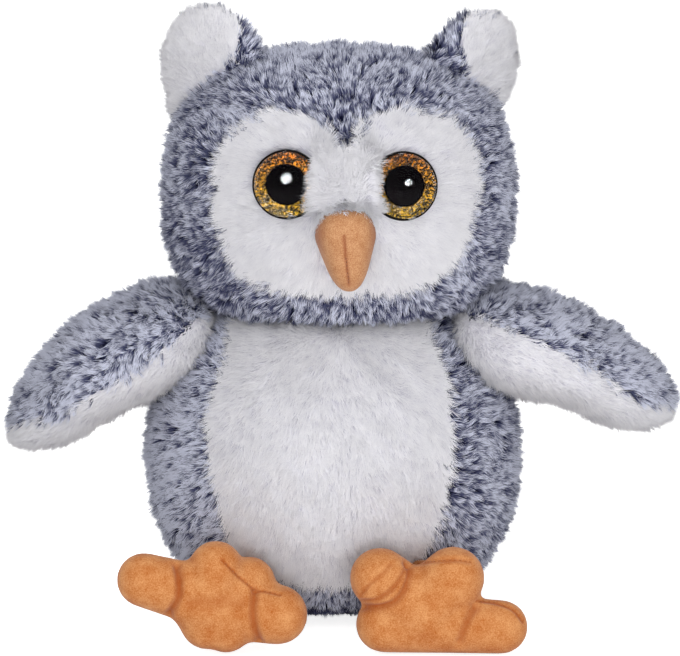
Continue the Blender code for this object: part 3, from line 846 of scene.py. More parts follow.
def ball(
    name: str, shape: Reshape, place: Matrix, segments: int = 72, rings: int = 48
) -> bpy.types.Object:
    """A sphere whose points are moved onto a form.

    Args:
        name: The piece's name.
        shape: From rows of unit directions to rows of points.
        place: Where the form's own frame goes.
        segments: Faces round the form.
        rings: Faces up the form.

    Returns:
        The new piece.
    """
    bpy.ops.object.select_all(action="DESELECT")
    bpy.ops.mesh.primitive_uv_sphere_add(segments=segments, ring_count=rings, radius=1)
    piece = bpy.context.object
    piece.name = name
    piece.data.name = name
    set_points(piece, moved(shape(unit(get_points(piece))), place))
    piece.data.shade_smooth()
    return piece


def ball_ways() -> Array:
    """Gives even directions all round, to measure a form with.

    Returns:
        Unit directions, in rows.
    """
    around, up = np.meshgrid(np.linspace(0, math.tau, 73), np.linspace(-math.pi / 2, math.pi / 2, 49))
    return np.stack(
        [(np.cos(up) * np.cos(around)).ravel(), (np.cos(up) * np.sin(around)).ravel(), np.sin(up).ravel()],
        axis=1,
    )


@dataclass(frozen=True)
class Stuffing:
    """How a cover is blown up: cloth pressure, then a limit on each point's move."""

    voxel: float = 4 * MM
    pressure: float = 4.0
    frames: int = 20
    limit: float = 1.0 * MM
    quality: int = 4
    smooth_rounds: int = 2

    def fill(self, piece: bpy.types.Object) -> None:
        """Remeshes a closed cover, runs the cloth and refines the result.

        Args:
            piece: The cover.
        """
        apply(piece, "REMESH", mode="VOXEL", voxel_size=self.voxel)
        apply(piece, "SMOOTH", factor=0.5, iterations=self.smooth_rounds)
        self.press(piece)
        apply(piece, "SUBSURF", levels=1, render_levels=1)
        piece.data.shade_smooth()

    def press(self, piece: bpy.types.Object) -> None:
        """Runs the cloth simulation and applies it, within the limit.

        Args:
            piece: The cover.
        """
        start = get_points(piece)
        cloth = piece.modifiers.new("cloth", "CLOTH")
        cloth.settings.quality = self.quality
        cloth.settings.use_pressure = True
        cloth.settings.uniform_pressure_force = self.pressure
        cloth.settings.effector_weights.gravity = 0
        cloth.collision_settings.use_collision = False
        scene = bpy.context.scene
        for step in range(1, self.frames + 1):
            scene.frame_set(step)
        only(piece)
        bpy.ops.object.modifier_apply(modifier=cloth.name)
        scene.frame_set(1)
        step_out = get_points(piece) - start
        length = np.linalg.norm(step_out, axis=1, keepdims=True)
        set_points(piece, start + step_out * np.minimum(1, self.limit / np.maximum(length, TINY)))


@dataclass(frozen=True)
class Bulge:
    """Half sizes of a stuffed form about its girth, and how square it is."""

    side: float
    front: float
    back: float
    up: float
    down: float
    plan_power: float = 2.0
    up_power: float = 2.0
    down_power: float = 2.0

    def at(self, ways: Array) -> Array:
        """Finds the form's points.

        Args:
            ways: Unit directions from its middle, in rows.

        Returns:
            One point in each direction.
        """
        flat = np.hypot(ways[:, 0], ways[:, 1])
        power = np.where(ways[:, 2] > 0, self.up_power, self.down_power)
        profile = (flat**power + np.abs(ways[:, 2]) ** power) ** (-1 / power)
        across, ahead = (np.abs(ways[:, axis]) / np.maximum(flat, TINY) for axis in (0, 1))
        plan = np.maximum(across**self.plan_power + ahead**self.plan_power, TINY) ** (-1 / self.plan_power)
        depth = np.where(ways[:, 1] < 0, self.front, self.back)
        height = np.where(ways[:, 2] > 0, self.up, self.down)
        return np.stack(
            [
                self.side * ways[:, 0] * plan * profile,
                depth * ways[:, 1] * plan * profile,
                height * ways[:, 2] * profile,
            ],
            axis=1,
        )

    def level(self, points: Array) -> Array:
        """Tells inside from outside.

        Args:
            points: Rows of points, in the form's own frame.

        Returns:
            Below one inside the form, one on it and above one outside.
        """
        depth = np.where(points[:, 1] < 0, self.front, self.back)
        height = np.where(points[:, 2] > 0, self.up, self.down)
        power = np.where(points[:, 2] > 0, self.up_power, self.down_power)
        across = np.abs(points[:, 0] / self.side) ** self.plan_power
        ahead = np.abs(points[:, 1] / depth) ** self.plan_power
        return (across + ahead) ** (power / self.plan_power) + np.abs(points[:, 2] / height) ** power


@dataclass(frozen=True)
class Fold:
    """A crease or a sewn seam of a cover, drawn through pixels of the photograph, with painted shade in its
    hollow.
    """

    pixels: tuple[Pixel, ...]
    depth: float = 0.9 * MM
    width: float = 1.1 * MM
    # how dark the painted shade in the fold's hollow is
    painted_shade: float = 0.7
    sewn: bool = False


def press_folds(cover: bpy.types.Object, folds: Sequence[Fold]) -> None:
    """Presses folds into the side of a cover that faces the camera, and paints shade into their hollows.

    Args:
        cover: The cover.
        folds: What is pressed in, each with a low lip on both sides.
    """
    lip_out, lip_share, steepness = 2.3, 0.15, 2.5
    points, normals = get_points(cover), Surface.of(cover).normals
    seen = VIEW.pixels(points)
    front = smoothed(steepness * (normals @ VIEW.axes()[2]))
    shade = np.zeros(len(points))
    for fold in folds:
        gap = gap_to(open_curve(fold.pixels), seen) * VIEW.scale / fold.width
        hollow, lips = np.exp(-(gap**2)) * front, np.exp(-((gap - lip_out) ** 2)) * front
        points -= normals * ((hollow - lip_share * lips) * fold.depth)[:, None]
        shade = np.maximum(shade, hollow * fold.painted_shade)
    set_points(cover, points)
    # the crease attribute carries the painted shade of the hollows to the cloth's colour
    layer = cover.data.attributes.new(CREASE_SHADE, "FLOAT", "POINT")
    layer.data.foreach_set("value", shade)


def stitched(
    name: str, cover: bpy.types.Object, folds: Sequence[Fold], pitch: float = 1.7 * MM
) -> bpy.types.Object:
    """Short threads laid along the sewn folds of a cover.

    Args:
        name: The piece's name.
        cover: What they lie on.
        folds: Folds, of which the sewn ones count.
        pitch: From one stitch to the next.

    Returns:
        All the threads as one piece.
    """
    half_shares = np.array([0.36, 0.1, 0.1])
    thread = ball("thread", lambda ways: ways * half_shares * pitch, Matrix.Identity(4), 8, 6)
    shape, pattern = get_points(thread), [tuple(face.vertices) for face in thread.data.polygons]
    bpy.data.objects.remove(thread)
    bpy.context.view_layer.update()
    eye = Vector(VIEW.eye())
    points, faces = [], []
    for fold in folds:
        if not fold.sewn:
            continue
        hits = []
        for pixel in open_curve(fold.pixels, 24):
            found, place, normal, _ = cover.ray_cast(eye, (VIEW.place(pixel, 0) - eye).normalized())
            if found:
                hits.append((place, normal))
        run = 0.0
        for (before, _), (place, normal) in zip(hits, hits[1:]):
            run += (place - before).length
            if run < pitch:
                continue
            run = 0.0
            heading = (place - before).normalized()
            side = normal.cross(heading).normalized()
            turn = Matrix((heading, side, heading.cross(side))).transposed().to_4x4()
            base = len(points) * len(shape)
            points.append(moved(shape, Matrix.Translation(place) @ turn))
            faces.extend(tuple(base + corner for corner in face) for face in pattern)
    return new_piece(name, np.concatenate(points), faces)


# Pile


@dataclass
class Surface:
    """A cover's triangles, ready to have tufts planted on them."""

    points: Array
    corners: Array
    normals: Array

    @classmethod
    def of(cls, piece: bpy.types.Object) -> "Surface":
        """Reads a piece's mesh.

        Args:
            piece: The cover.

        Returns:
            Its surface.
        """
        mesh = piece.data
        mesh.calc_loop_triangles()
        corners = np.empty(len(mesh.loop_triangles) * 3, np.int32)
        mesh.loop_triangles.foreach_get("vertices", corners)
        normals = np.empty(len(mesh.vertices) * 3)
        mesh.vertex_normals.foreach_get("vector", normals)
        return cls(get_points(piece), corners.reshape(-1, 3), normals.reshape(-1, 3))

    def scatter(self, count: int, keep: Reshape, rng: np.random.Generator) -> tuple[Array, Array]:
        """Even places on the part of the surface that is kept.

        Args:
            count: How many places are wanted.
            keep: True for each point that may hold a tuft.
            rng: Where chance comes from.

        Returns:
            Points and normals, in rows.
        """
        a, b, c = (self.points[self.corners[:, i]] for i in range(3))
        areas = np.linalg.norm(np.cross(b - a, c - a), axis=1)
        areas = areas * keep((a + b + c) / 3)
        ends = np.cumsum(areas)
        spots = (np.arange(count) + rng.random(count)) / count * ends[-1]
        chosen = np.searchsorted(ends, spots).clip(0, len(areas) - 1)
        u, v = rng.random((2, count))
        over = u + v > 1
        u[over], v[over] = 1 - u[over], 1 - v[over]
        shares = np.stack([1 - u - v, u, v], axis=1)[:, :, None]
        rows = self.corners[chosen]
        points = (self.points[rows] * shares).sum(axis=1)
        normals = unit((self.normals[rows] * shares).sum(axis=1))
        good = keep(points)
        return points[good], normals[good]


@dataclass(frozen=True)
class Pile:
    """One panel's pile: how many tufts, their size, lean and how they lock together."""

    name: str
    finish: PlushFinish
    count: int
    length: float = 5.9 * MM
    width: float = 0.5 * MM
    lean: float = 0.54
    lean_spread: float = 0.14
    scatter: float = 0.2
    lock_spacing: float = 2.0 * MM
    lock_pull: float = 0.62
    lock_scatter: float = 0.32
    lock_blur: float = 0.12
    root_depth: float = 0.4 * MM
    floor: float = 0.25 * MM
    swirl: float = 0.7
    swirl_length: float = 20 * MM
    tone: float = 0.5
    tone_spread: float = 0.25
    patches: float = 0.05
    softness: float = 0.35
    seed: int = 1
    tones: int = 32

    def plant(
        self,
        surface: Surface,
        keep: Reshape,
        comb: Comb,
        trim: Optional[Reshape] = None,
        lift: Optional[Reshape] = None,
        shade: Optional[Reshape] = None,
    ) -> bpy.types.Object:
        """Grows the pile on a cover.

        Args:
            surface: The cover.
            keep: True for each point of the cover that belongs to the panel.
            comb: From points and normals to the way that the pile is brushed.
            trim: A share of the full length at each point.
            lift: Moves tips that would lie inside something hard.
            shade: How much darker the tufts are at each point.

        Returns:
            The pile as one piece.
        """
        rng = np.random.default_rng(self.seed)
        roots, normals = surface.scatter(self.count, keep, rng)
        brushed = self.brushed(roots, normals, comb)
        lengths = self.length * rng.uniform(0.72, 1.12, len(roots))
        if trim:
            lengths = lengths * trim(roots)
        tips = self.leaning(roots, normals, brushed, lengths, self.scatter, rng)
        tips, lock_tones = self.locked(roots, normals, brushed, lengths, tips, rng)
        if lift:
            tips = lift(tips)
        tips[:, 2] = np.maximum(tips[:, 2], self.floor)
        tones = self.tone + self.tone_spread * (0.5 * rng.normal(size=len(roots)) + 0.8 * lock_tones)
        tones += self.patches * ripple(roots, self.swirl_length * 1.6, self.seed + 120)
        if shade:
            tones -= shade(roots)
        return self.mesh(roots - normals * self.root_depth, tips, normals, tones, rng)

    def brushed(self, roots: Array, normals: Array, comb: Comb) -> Array:
        """Finds the brushed way at each root, swirled a little and flat on the cover.

        Args:
            roots: Rows of roots.
            normals: The cover's normals.
            comb: From points and normals to the way that the pile is brushed.

        Returns:
            Unit directions, in rows.
        """
        way = comb(roots, normals)
        way = unit(way - normals * (way * normals).sum(axis=1, keepdims=True))
        turn = self.swirl * ripple(roots, self.swirl_length, self.seed + 50)[:, None]
        return unit(way * np.cos(turn) + np.cross(normals, way) * np.sin(turn))

    def leaning(
        self, roots: Array, normals: Array, brushed: Array, lengths: Array, scatter: float,
        rng: np.random.Generator,
    ) -> Array:
        """Finds tips of tufts that lean over the brushed way, more in some places.

        Args:
            roots: Rows of roots.
            normals: The cover's normals.
            brushed: The brushed ways.
            lengths: The tufts' lengths.
            scatter: How far single tufts stray.
            rng: Where chance comes from.

        Returns:
            The tips, in rows.
        """
        lean = self.lean + self.lean_spread * ripple(roots, self.swirl_length * 0.5, self.seed + 90)
        lean = np.clip(lean, 0.2, 0.85)[:, None]
        stray = rng.normal(size=roots.shape) * scatter
        return roots + unit(normals * (1 - lean) + brushed * lean + stray) * lengths[:, None]

    def locked(
        self, roots: Array, normals: Array, brushed: Array, lengths: Array, tips: Array,
        rng: np.random.Generator,
    ) -> tuple[Array, Array]:
        """Draws neighbouring tips together into locks.

        Args:
            roots: Rows of roots.
            normals: The cover's normals.
            brushed: The brushed ways.
            lengths: The tufts' lengths.
            tips: Tips to be drawn in.
            rng: Where chance comes from.

        Returns:
            Tips, and one tone for each tuft, shared by its lock.
        """
        spacing = self.lock_spacing
        cells = np.unique(np.floor(roots / spacing).astype(int), axis=0, return_index=True)[1]
        tree = kdtree.KDTree(len(cells))
        for index, leader in enumerate(cells):
            tree.insert(roots[leader], index)
        tree.balance()
        asked = roots + rng.normal(size=roots.shape) * spacing * self.lock_blur
        mine = cells[[tree.find(root)[1] for root in asked]]
        lead = self.leaning(roots, normals, brushed, lengths * 1.05, self.lock_scatter, rng)
        pull = self.lock_pull * rng.uniform(0.7, 1.2, len(roots))[:, None]
        tones = rng.normal(size=len(roots))[mine]
        return tips + (lead[mine] - tips) * pull, tones

    def mesh(
        self, roots: Array, tips: Array, normals: Array, tones: Array, rng: np.random.Generator
    ) -> bpy.types.Object:
        """Three-sided tufts as one mesh, with a map of tone across and height up.

        Args:
            roots: Where tufts start.
            tips: Where they end.
            normals: The cover's normals, which soften the tufts' own.
            tones: From 0, dark, to 1, pale.
            rng: Where chance comes from.

        Returns:
            The piece.
        """
        count = len(roots)
        heading = unit(tips - roots)
        first = unit(np.cross(heading, rng.normal(size=(count, 3))))
        second = np.cross(heading, first)
        radius = self.width / 2 * rng.uniform(0.75, 1.2, (count, 1))
        rings, outward = [], []
        for angle in (math.tau * third / 3 for third in range(3)):
            spoke = first * math.cos(angle) + second * math.sin(angle)
            rings.append(roots + spoke * radius)
            outward.append(unit(spoke * self.softness + normals))
        rings.append(tips)
        outward.append(unit(heading * self.softness + normals))
        points = np.stack(rings, axis=1).reshape(-1, 3)
        facing = np.stack(outward, axis=1).reshape(-1, 3)
        pattern = np.array([(0, 1, 3), (1, 2, 3), (2, 0, 3)])
        faces = (np.arange(count) * 4)[:, None, None] + pattern[None]
        piece = new_piece(self.name, points, faces.reshape(-1, 3))
        column = np.clip((tones * self.tones).astype(int), 0, self.tones - 1)[:, None]
        across = (column + np.array([0.2, 0.5, 0.8, 0.5])) / self.tones
        height = np.broadcast_to([0.02, 0.02, 0.02, 0.98], (count, 4))
        places = np.stack([across, height], axis=2).reshape(-1, 2)
        corners = np.empty(len(piece.data.loops), np.int32)
        piece.data.loops.foreach_get("vertex_index", corners)
        layer = piece.data.uv_layers.new(name=PILE_MAP)
        layer.data.foreach_set("uv", places[corners].ravel())
        shading = piece.data.attributes.new("custom_normal", "FLOAT_VECTOR", "POINT")
        shading.data.foreach_set("vector", facing.ravel())
        piece.data.materials.append(self.finish.material())
        return piece


def ragged(points: Array) -> Array:
    """Shifts the pixels of points so that a colour's edge is mixed hair by hair.

    Args:
        points: Rows of points.

    Returns:
        Columns and rows of the photograph, one pair for each point.
    """
    broad = np.stack([ripple(points, WAVE, seed) for seed in (7, 8)], axis=1)
    fine = np.stack([ripple(points, FINE_WAVE, seed) for seed in (9, 10)], axis=1)
    return VIEW.pixels(points) + 1.6 * broad + 2.4 * fine


def drawn_in(curve: Array, centre: Pixel, step: float) -> Array:
    """A curve of pixels moved towards a centre, to where hairs that reach it are rooted."""
    way = np.array(centre) - curve
    return curve + unit(way) * step


def away_from(centre: Vector, downward: float = 0.0) -> Comb:
    """Makes a comb that brushes away from a place.

    Args:
        centre: The place.
        downward: How much it brushes down as well, as a share.

    Returns:
        The comb.
    """

    def comb(points: Array, normals: Array) -> Array:
        """The way that the pile is brushed at each point."""
        way = unit(points - np.array(centre))
        return way + np.array([0, 0, -downward])

    return comb


def along(way: Vector) -> Comb:
    """A comb that brushes one way."""
    return lambda points, normals: np.broadcast_to(np.array(way.normalized()), points.shape)


# Sub-assemblies


@dataclass
class Part:
    """Something that adds pieces to a body and counts them."""

    body: str
    made: list[bpy.types.Object] = field(default_factory=list)

    def keep(self, piece: bpy.types.Object, slot: str, nodes: Sequence[str] = ()) -> bpy.types.Object:
        """Lets a piece ride on the body.

        Args:
            piece: The piece.
            slot: The material slot that it goes with; not used.
            nodes: The CAD nodes that it stands for.

        Returns:
            The same piece.
        """
        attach(piece, self.body)
        if nodes:
            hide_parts(*nodes)
        self.made.append(piece)
        return piece

    def report(self) -> None:
        """Logs each piece and its triangles."""
        for piece in self.made:
            piece.data.calc_loop_triangles()
            LOG.info("%s: %s, %d triangles", self.body, piece.name, len(piece.data.loop_triangles))


def white_pile(name: str, count: int, length: float, lean: float, **settings: float) -> Pile:
    """Describes a panel of white pile, finer and straighter than the grey.

    Args:
        name: The piece's name.
        count: How many tufts there are.
        length: The tufts' length.
        lean: How far they lean over.
        settings: Other values of the pile.

    Returns:
        The pile, ready to be planted.
    """
    usual = {"width": 0.42 * MM, "lock_pull": 0.3, "tone_spread": 0.16, "swirl": 0.25, "softness": 0.2}
    return Pile(name, WHITE_PILE, count, length=length, lean=lean, **(usual | settings))


def paint_cover(cover: bpy.types.Object, white: Reshape) -> None:
    """Gives a cover its two backings.

    Args:
        cover: The cover.
        white: True for each point that has the white one.
    """
    for finish in (GREY_BACKING, WHITE_BACKING):
        cover.data.materials.append(finish.material())
    centres = np.empty(len(cover.data.polygons) * 3)
    cover.data.polygons.foreach_get("center", centres)
    cover.data.polygons.foreach_set("material_index", white(centres.reshape(-1, 3)).astype(np.int32))


@dataclass(frozen=True)
class Neck:
    """The face where head and body meet: flat about the axis and higher at the rim."""

    rise: float = 4.2 * MM
    inner: float = 12 * MM
    outer: float = 26 * MM

    def lift(self, points: Array) -> Array:
        """How much higher the face is at each point than at the neck's axis."""
        axis = joint_place("neck_turn")
        radius = np.hypot(points[:, 0] - axis.x, points[:, 1] - axis.y)
        return self.rise * smoothed((radius - self.inner) / (self.outer - self.inner))


NECK = Neck()


@dataclass
class Head(Part):
    """The head's cover and its three panels of pile."""

    pile_depth: float = 3.5 * MM
    turn: float = math.radians(2.5)
    crown_power: float = 2.6
    chin_power: float = 2.7
    plan_power: float = 2.2
    half_height: float = 52 * MM
    bridge_rise: float = 7.5 * MM
    bridge_half_width: float = 11 * MM
    bridge_edge: float = 4 * MM
    bridge_above: float = 12 * MM
    bridge_half_height: float = 16 * MM
    bridge_length: float = 0.45
    comb_pixel: Pixel = (346, 188)
    face_reach: float = 10.0
    neck_gap: float = 0.6 * MM
    bare_rim: float = 1.6 * MM
    short_rim: float = 8 * MM
    rim_share: float = 0.72
    seam_back: float = 4 * MM
    comb_depth: float = 25 * MM
    cheek_shade: float = 0.18
    chin_shade: float = 0.15
    face_outline: tuple[Pixel, ...] = (
        (341, 147), (325, 127), (308, 114), (285, 109), (262, 113), (240, 125), (222, 146), (214, 172),
        (214, 200), (219, 235), (234, 270), (255, 284), (280, 292), (315, 296), (346, 297), (400, 293),
        (425, 287), (443, 279), (459, 258), (470, 235), (477, 205), (479, 178), (477, 153), (465, 130),
        (445, 115), (412, 109), (385, 114), (362, 128),
    )

    def __post_init__(self) -> None:
        """Finds the head's form and place from its CAD nodes and its joint."""
        self.low, high = node_box("head_front_panel", "head_back_panel")
        neck = self.neck = joint_place("neck_turn")
        middle = high.z - self.half_height
        depth = self.pile_depth
        self.form = Bulge(
            side=(high.x - self.low.x) / 2 - depth, front=neck.y - self.low.y - depth,
            back=high.y - neck.y - depth, up=high.z - middle - depth, down=high.z - middle - depth,
            plan_power=self.plan_power, up_power=self.crown_power, down_power=self.chin_power,
        )
        self.place = Matrix.Translation((neck.x, neck.y, middle)) @ Matrix.Rotation(self.turn, 4, "Z")

    def build(self, eyes: Sequence["Eye"], beak: "Beak") -> None:
        """Makes the cover and plants its pile round the eyes and the beak."""
        neck = self.neck

        def shape(ways: Array) -> Array:
            """The head's form, cut off flat at the neck."""
            points = moved(self.form.at(ways), self.place)
            points[:, 2] = np.maximum(points[:, 2], neck.z + self.neck_gap + NECK.lift(points))
            return moved(points, self.place.inverted())

        cover = ball("head_cover", shape, self.place)
        Stuffing(smooth_rounds=4).fill(cover)
        home = self.place.inverted()
        local = moved(get_points(cover), home)
        local[:, 1] -= self.bridge(local) * self.bridge_rise
        set_points(cover, moved(local, self.place))
        heart = drawn_in(closed_curve(self.face_outline), self.comb_pixel, self.face_reach)
        seam = neck.y + self.seam_back

        def in_face(points: Array) -> Array:
            """True within the heart of the face."""
            return (points[:, 1] < seam) & inside(heart, ragged(points))

        paint_cover(cover, in_face)
        self.keep(
            cover, "grey_plush",
            ("head_front_panel", "head_back_panel", "face_panel", "head_stuffing"),
        )
        surface = Surface.of(cover)

        def open_skin(points: Array) -> Array:
            """True where neither neck, beak nor eye covers the skin."""
            free = (points[:, 2] > neck.z + self.bare_rim + NECK.lift(points)) & ~beak.holds(points)
            for eye in eyes:
                free &= ~eye.holds(points)
            return free

        def combed_length(points: Array) -> Array:
            """Longer pile between the eyes, shorter at the neck."""
            rim = smoothed((points[:, 2] - neck.z - NECK.lift(points)) / self.short_rim)
            longer = 1 + self.bridge_length * self.bridge(moved(points, home))
            return longer * (self.rim_share + (1 - self.rim_share) * rim)

        def over_domes(tips: Array) -> Array:
            """Tips, moved out of the domes and the beak."""
            for eye in eyes:
                tips = eye.lifted(tips)
            return beak.lifted(tips)

        centre = VIEW.place(self.comb_pixel, self.low.y + self.comb_depth)
        comb = away_from(centre)
        fringe = white_pile("face_pile", 60000, 6.8 * MM, 0.66, seed=11)
        pieces = (
            (fringe, lambda p: in_face(p) & open_skin(p), comb, "white_plush"),
            (
                Pile("head_front_pile", GREY_PILE, 63000, tone=0.49, seed=12),
                lambda p: ~in_face(p) & (p[:, 1] < seam) & open_skin(p), comb, "grey_plush",
            ),
            (
                Pile("head_back_pile", GREY_PILE, 60000, tone=0.49, seed=13),
                lambda p: (p[:, 1] >= seam) & open_skin(p), away_from(centre, 0.8), "grey_plush",
            ),
        )
        for pile, mask, brush, slot in pieces:
            shade = None if pile is fringe else self.shade
            self.keep(pile.plant(surface, mask, brush, combed_length, over_domes, shade), slot)
        for eye in eyes:
            lash = white_pile(
                f"eye_{eye.side.value}_fringe", 3000, eye.lash, 0.82, width=0.45 * MM, lean_spread=0.06,
                scatter=0.15, lock_pull=0.35, swirl=0.1, seed=15 + eye.side.sign,
            )
            outward = along(Vector((eye.side.sign, 0, -0.12)))
            fringed = lash.plant(
                surface, lambda p, eye=eye: eye.nose_side(p) & open_skin(p), outward, eye.nose_length,
                over_domes,
            )
            self.keep(fringed, "white_plush")

    def shade(self, points: Array) -> Array:
        """How much darker the pile is: on the low right cheek, and as painted shade on the chin under the head.
        """
        cheek = smoothed((-points[:, 0] - 14 * MM) / (24 * MM))
        low = smoothed((self.place.translation.z + 12 * MM - points[:, 2]) / (16 * MM))
        chin = smoothed((self.neck.z + 17 * MM - points[:, 2]) / (10 * MM))
        return np.maximum(self.cheek_shade * cheek * low, self.chin_shade * chin) * (points[:, 1] < self.neck.y)

    def bridge(self, local: Array) -> Array:
        """How much of the bridge between the eyes is at each point of the head's frame."""
        across = smoothed((self.bridge_half_width - np.abs(local[:, 0])) / self.bridge_edge)
        up = np.exp(-(((local[:, 2] - self.bridge_above) / self.bridge_half_height) ** 4))
        return across * up * (local[:, 1] < 0)


@dataclass
class Body(Part):
    """The body's cover and its four panels of pile."""

    pile_depth: float = 2.4 * MM
    girth_height: float = 56 * MM
    rise: float = 64 * MM
    drop: float = 60 * MM
    seat_power: float = 2.5
    floor_gap: float = 1.2 * MM
    neck_gap: float = 1.5 * MM
    bare_rim: float = 2.2 * MM
    bare_seat: float = 1.4 * MM
    base_band: float = 10 * MM
    comb_depth: float = 20 * MM
    comb_down: float = 0.35
    wing_margin: float = 0.75
    seat_share: float = 0.35
    # how far the side panels' painted light and shade fade out at the back
    evening: float = 0.11
    belly_corners: tuple[Pixel, ...] = (
        (245, 318), (230, 360), (217, 400), (212, 434), (217, 475), (227, 520), (238, 552), (268, 575),
        (330, 581), (390, 576), (419, 554), (437, 514), (447, 470), (448, 425), (443, 384), (429, 352),
        (414, 318), (330, 308),
    )

    def build(self, wings: Sequence["Wing"]) -> None:
        """Makes the cover and plants its pile, but for where the wings sit."""
        low, high = node_box("body_left_panel", "body_right_panel", "base_panel", "belly_panel")
        depth = self.pile_depth
        form = self.form = Bulge(
            side=(high.x - low.x) / 2 - depth, front=-low.y - depth, back=high.y - depth,
            up=self.rise - depth, down=self.drop - depth, down_power=self.seat_power,
        )
        place = self.place = Matrix.Translation((0, 0, self.girth_height))
        floor = self.floor_gap - self.girth_height
        top = high.z - self.girth_height - self.neck_gap

        def shape(ways: Array) -> Array:
            """The body's form, cut off flat at the seat and the neck."""
            points = form.at(ways)
            points[:, 2] = np.clip(points[:, 2], floor, top + NECK.lift(points))
            return points

        cover = ball("body_cover", shape, place)
        Stuffing().fill(cover)
        belly = closed_curve(self.belly_corners)

        def in_belly(points: Array) -> Array:
            """True within the belly's outline."""
            return (points[:, 1] < 0) & (points[:, 2] > 3 * MM) & inside(belly, ragged(points))

        paint_cover(cover, in_belly)
        self.keep(
            cover, "grey_plush",
            (
                "body_left_panel", "body_right_panel", "base_panel", "belly_panel", "body_stuffing",
                "pellet_pouch",
            ),
        )
        surface = Surface.of(cover)
        base = self.base_band
        under_head = high.z - self.bare_rim
        centre = Vector((0, low.y + self.comb_depth, self.girth_height + 6 * MM))
        chin = Vector((0, low.y + self.comb_depth, high.z + 45 * MM))
        brush = away_from(centre, self.comb_down)

        def shown(points: Array) -> Array:
            """True where neither head, floor nor wing covers the skin."""
            free = (points[:, 2] < under_head + NECK.lift(points)) & (points[:, 2] > self.bare_seat)
            for wing in wings:
                free &= wing.root_level(points) > self.wing_margin
            return free

        def short_below(points: Array) -> Array:
            """Shorter pile under the seat."""
            return self.seat_share + (1 - self.seat_share) * smoothed((points[:, 2] - 2 * MM) / (9 * MM))

        def evened(points: Array) -> Array:
            """Fades the painted light and shade of the two side panels at the back, drawing their tones
            together.
            """
            back = smoothed(points[:, 1] / (40 * MM)) * (points[:, 2] >= base)
            shift = np.where(points[:, 0] < 0, self.evening, -self.evening)
            return shift * back

        pieces = (
            (
                white_pile("belly_pile", 62000, 6.6 * MM, 0.7, seed=21),
                lambda p: in_belly(p) & shown(p), away_from(chin), "white_plush",
            ),
            (
                # the side tones are painted light and shade: the toy's right side is paler, its left darker
                Pile("body_left_pile", GREY_PILE, 64000, tone=0.48, seed=22),
                lambda p: ~in_belly(p) & (p[:, 0] >= 0) & (p[:, 2] >= base) & shown(p), brush, "grey_plush",
            ),
            (
                Pile("body_right_pile", GREY_PILE, 64000, tone=0.7, seed=23),
                lambda p: ~in_belly(p) & (p[:, 0] < 0) & (p[:, 2] >= base) & shown(p), brush, "grey_plush",
            ),
            (
                # the base pile's low tone is painted shade under the seat
                Pile("base_pile", GREY_PILE, 14000, tone=-0.1, seed=24),
                lambda p: ~in_belly(p) & (p[:, 2] < base) & shown(p), brush, "grey_plush",
            ),
        )
        for pile, mask, way, slot in pieces:
            self.keep(pile.plant(surface, mask, way, short_below, shade=evened), slot)


@dataclass
class Ear(Part):
    """One ear: a cover with white pile before and grey pile behind."""

    side: Side = Side.LEFT
    pile_depth: float = 3.6 * MM
    half_width: float = 23.5 * MM
    half_thickness: float = 11.5 * MM
    rise: float = 27 * MM
    drop: float = 28 * MM
    lean: float = math.radians(12)
    facing: float = math.radians(32)
    tip_power: float = 2.1
    root_power: float = 2.8
    comb_share: float = 0.6
    bare_share: float = 0.75
    out: float = 42 * MM
    above: float = 40.5 * MM
    seam_y: float = 4 * MM
    white_corners: tuple[Pixel, ...] = ()

    def build(self, head: Head) -> None:
        """Makes the cover and plants its pile."""
        sign, name, depth = self.side.sign, self.side.value, self.pile_depth
        form = Bulge(
            self.half_width - depth, self.half_thickness - depth, self.half_thickness - depth,
            self.rise - depth, self.drop, up_power=self.tip_power, down_power=self.root_power,
        )
        place = (
            head.place
            @ Matrix.Translation((sign * self.out, self.seam_y, self.above))
            @ Matrix.Rotation(sign * self.lean, 4, "Y")
            @ Matrix.Rotation(sign * self.facing, 4, "Z")
        )
        cover = ball(f"ear_{name}_cover", form.at, place, 48, 32)
        Stuffing(voxel=2.5 * MM, limit=0.5 * MM).fill(cover)
        home = place.inverted()
        white = closed_curve(self.white_corners)

        def before(points: Array) -> Array:
            """True on the white front of the ear."""
            return (moved(points, home)[:, 1] < 0) & inside(white, ragged(points))

        paint_cover(cover, before)
        self.keep(cover, "grey_plush", (f"ear_{name}_front", f"ear_{name}_back"))
        surface = Surface.of(cover)
        root = place @ Vector((0, 0, -self.drop * self.comb_share))
        comb = away_from(root)

        def clear(points: Array) -> Array:
            """True above the ear's hidden root."""
            return moved(points, home)[:, 2] > -self.drop * self.bare_share

        front = white_pile(f"ear_{name}_front_pile", 15000, 6.0 * MM, 0.7, swirl=0.2, seed=31 + sign)
        back = Pile(f"ear_{name}_back_pile", GREY_PILE, 13000, seed=34 + sign)
        self.keep(front.plant(surface, lambda p: before(p) & clear(p), comb), "white_plush")
        self.keep(back.plant(surface, lambda p: ~before(p) & clear(p), comb), "grey_plush")


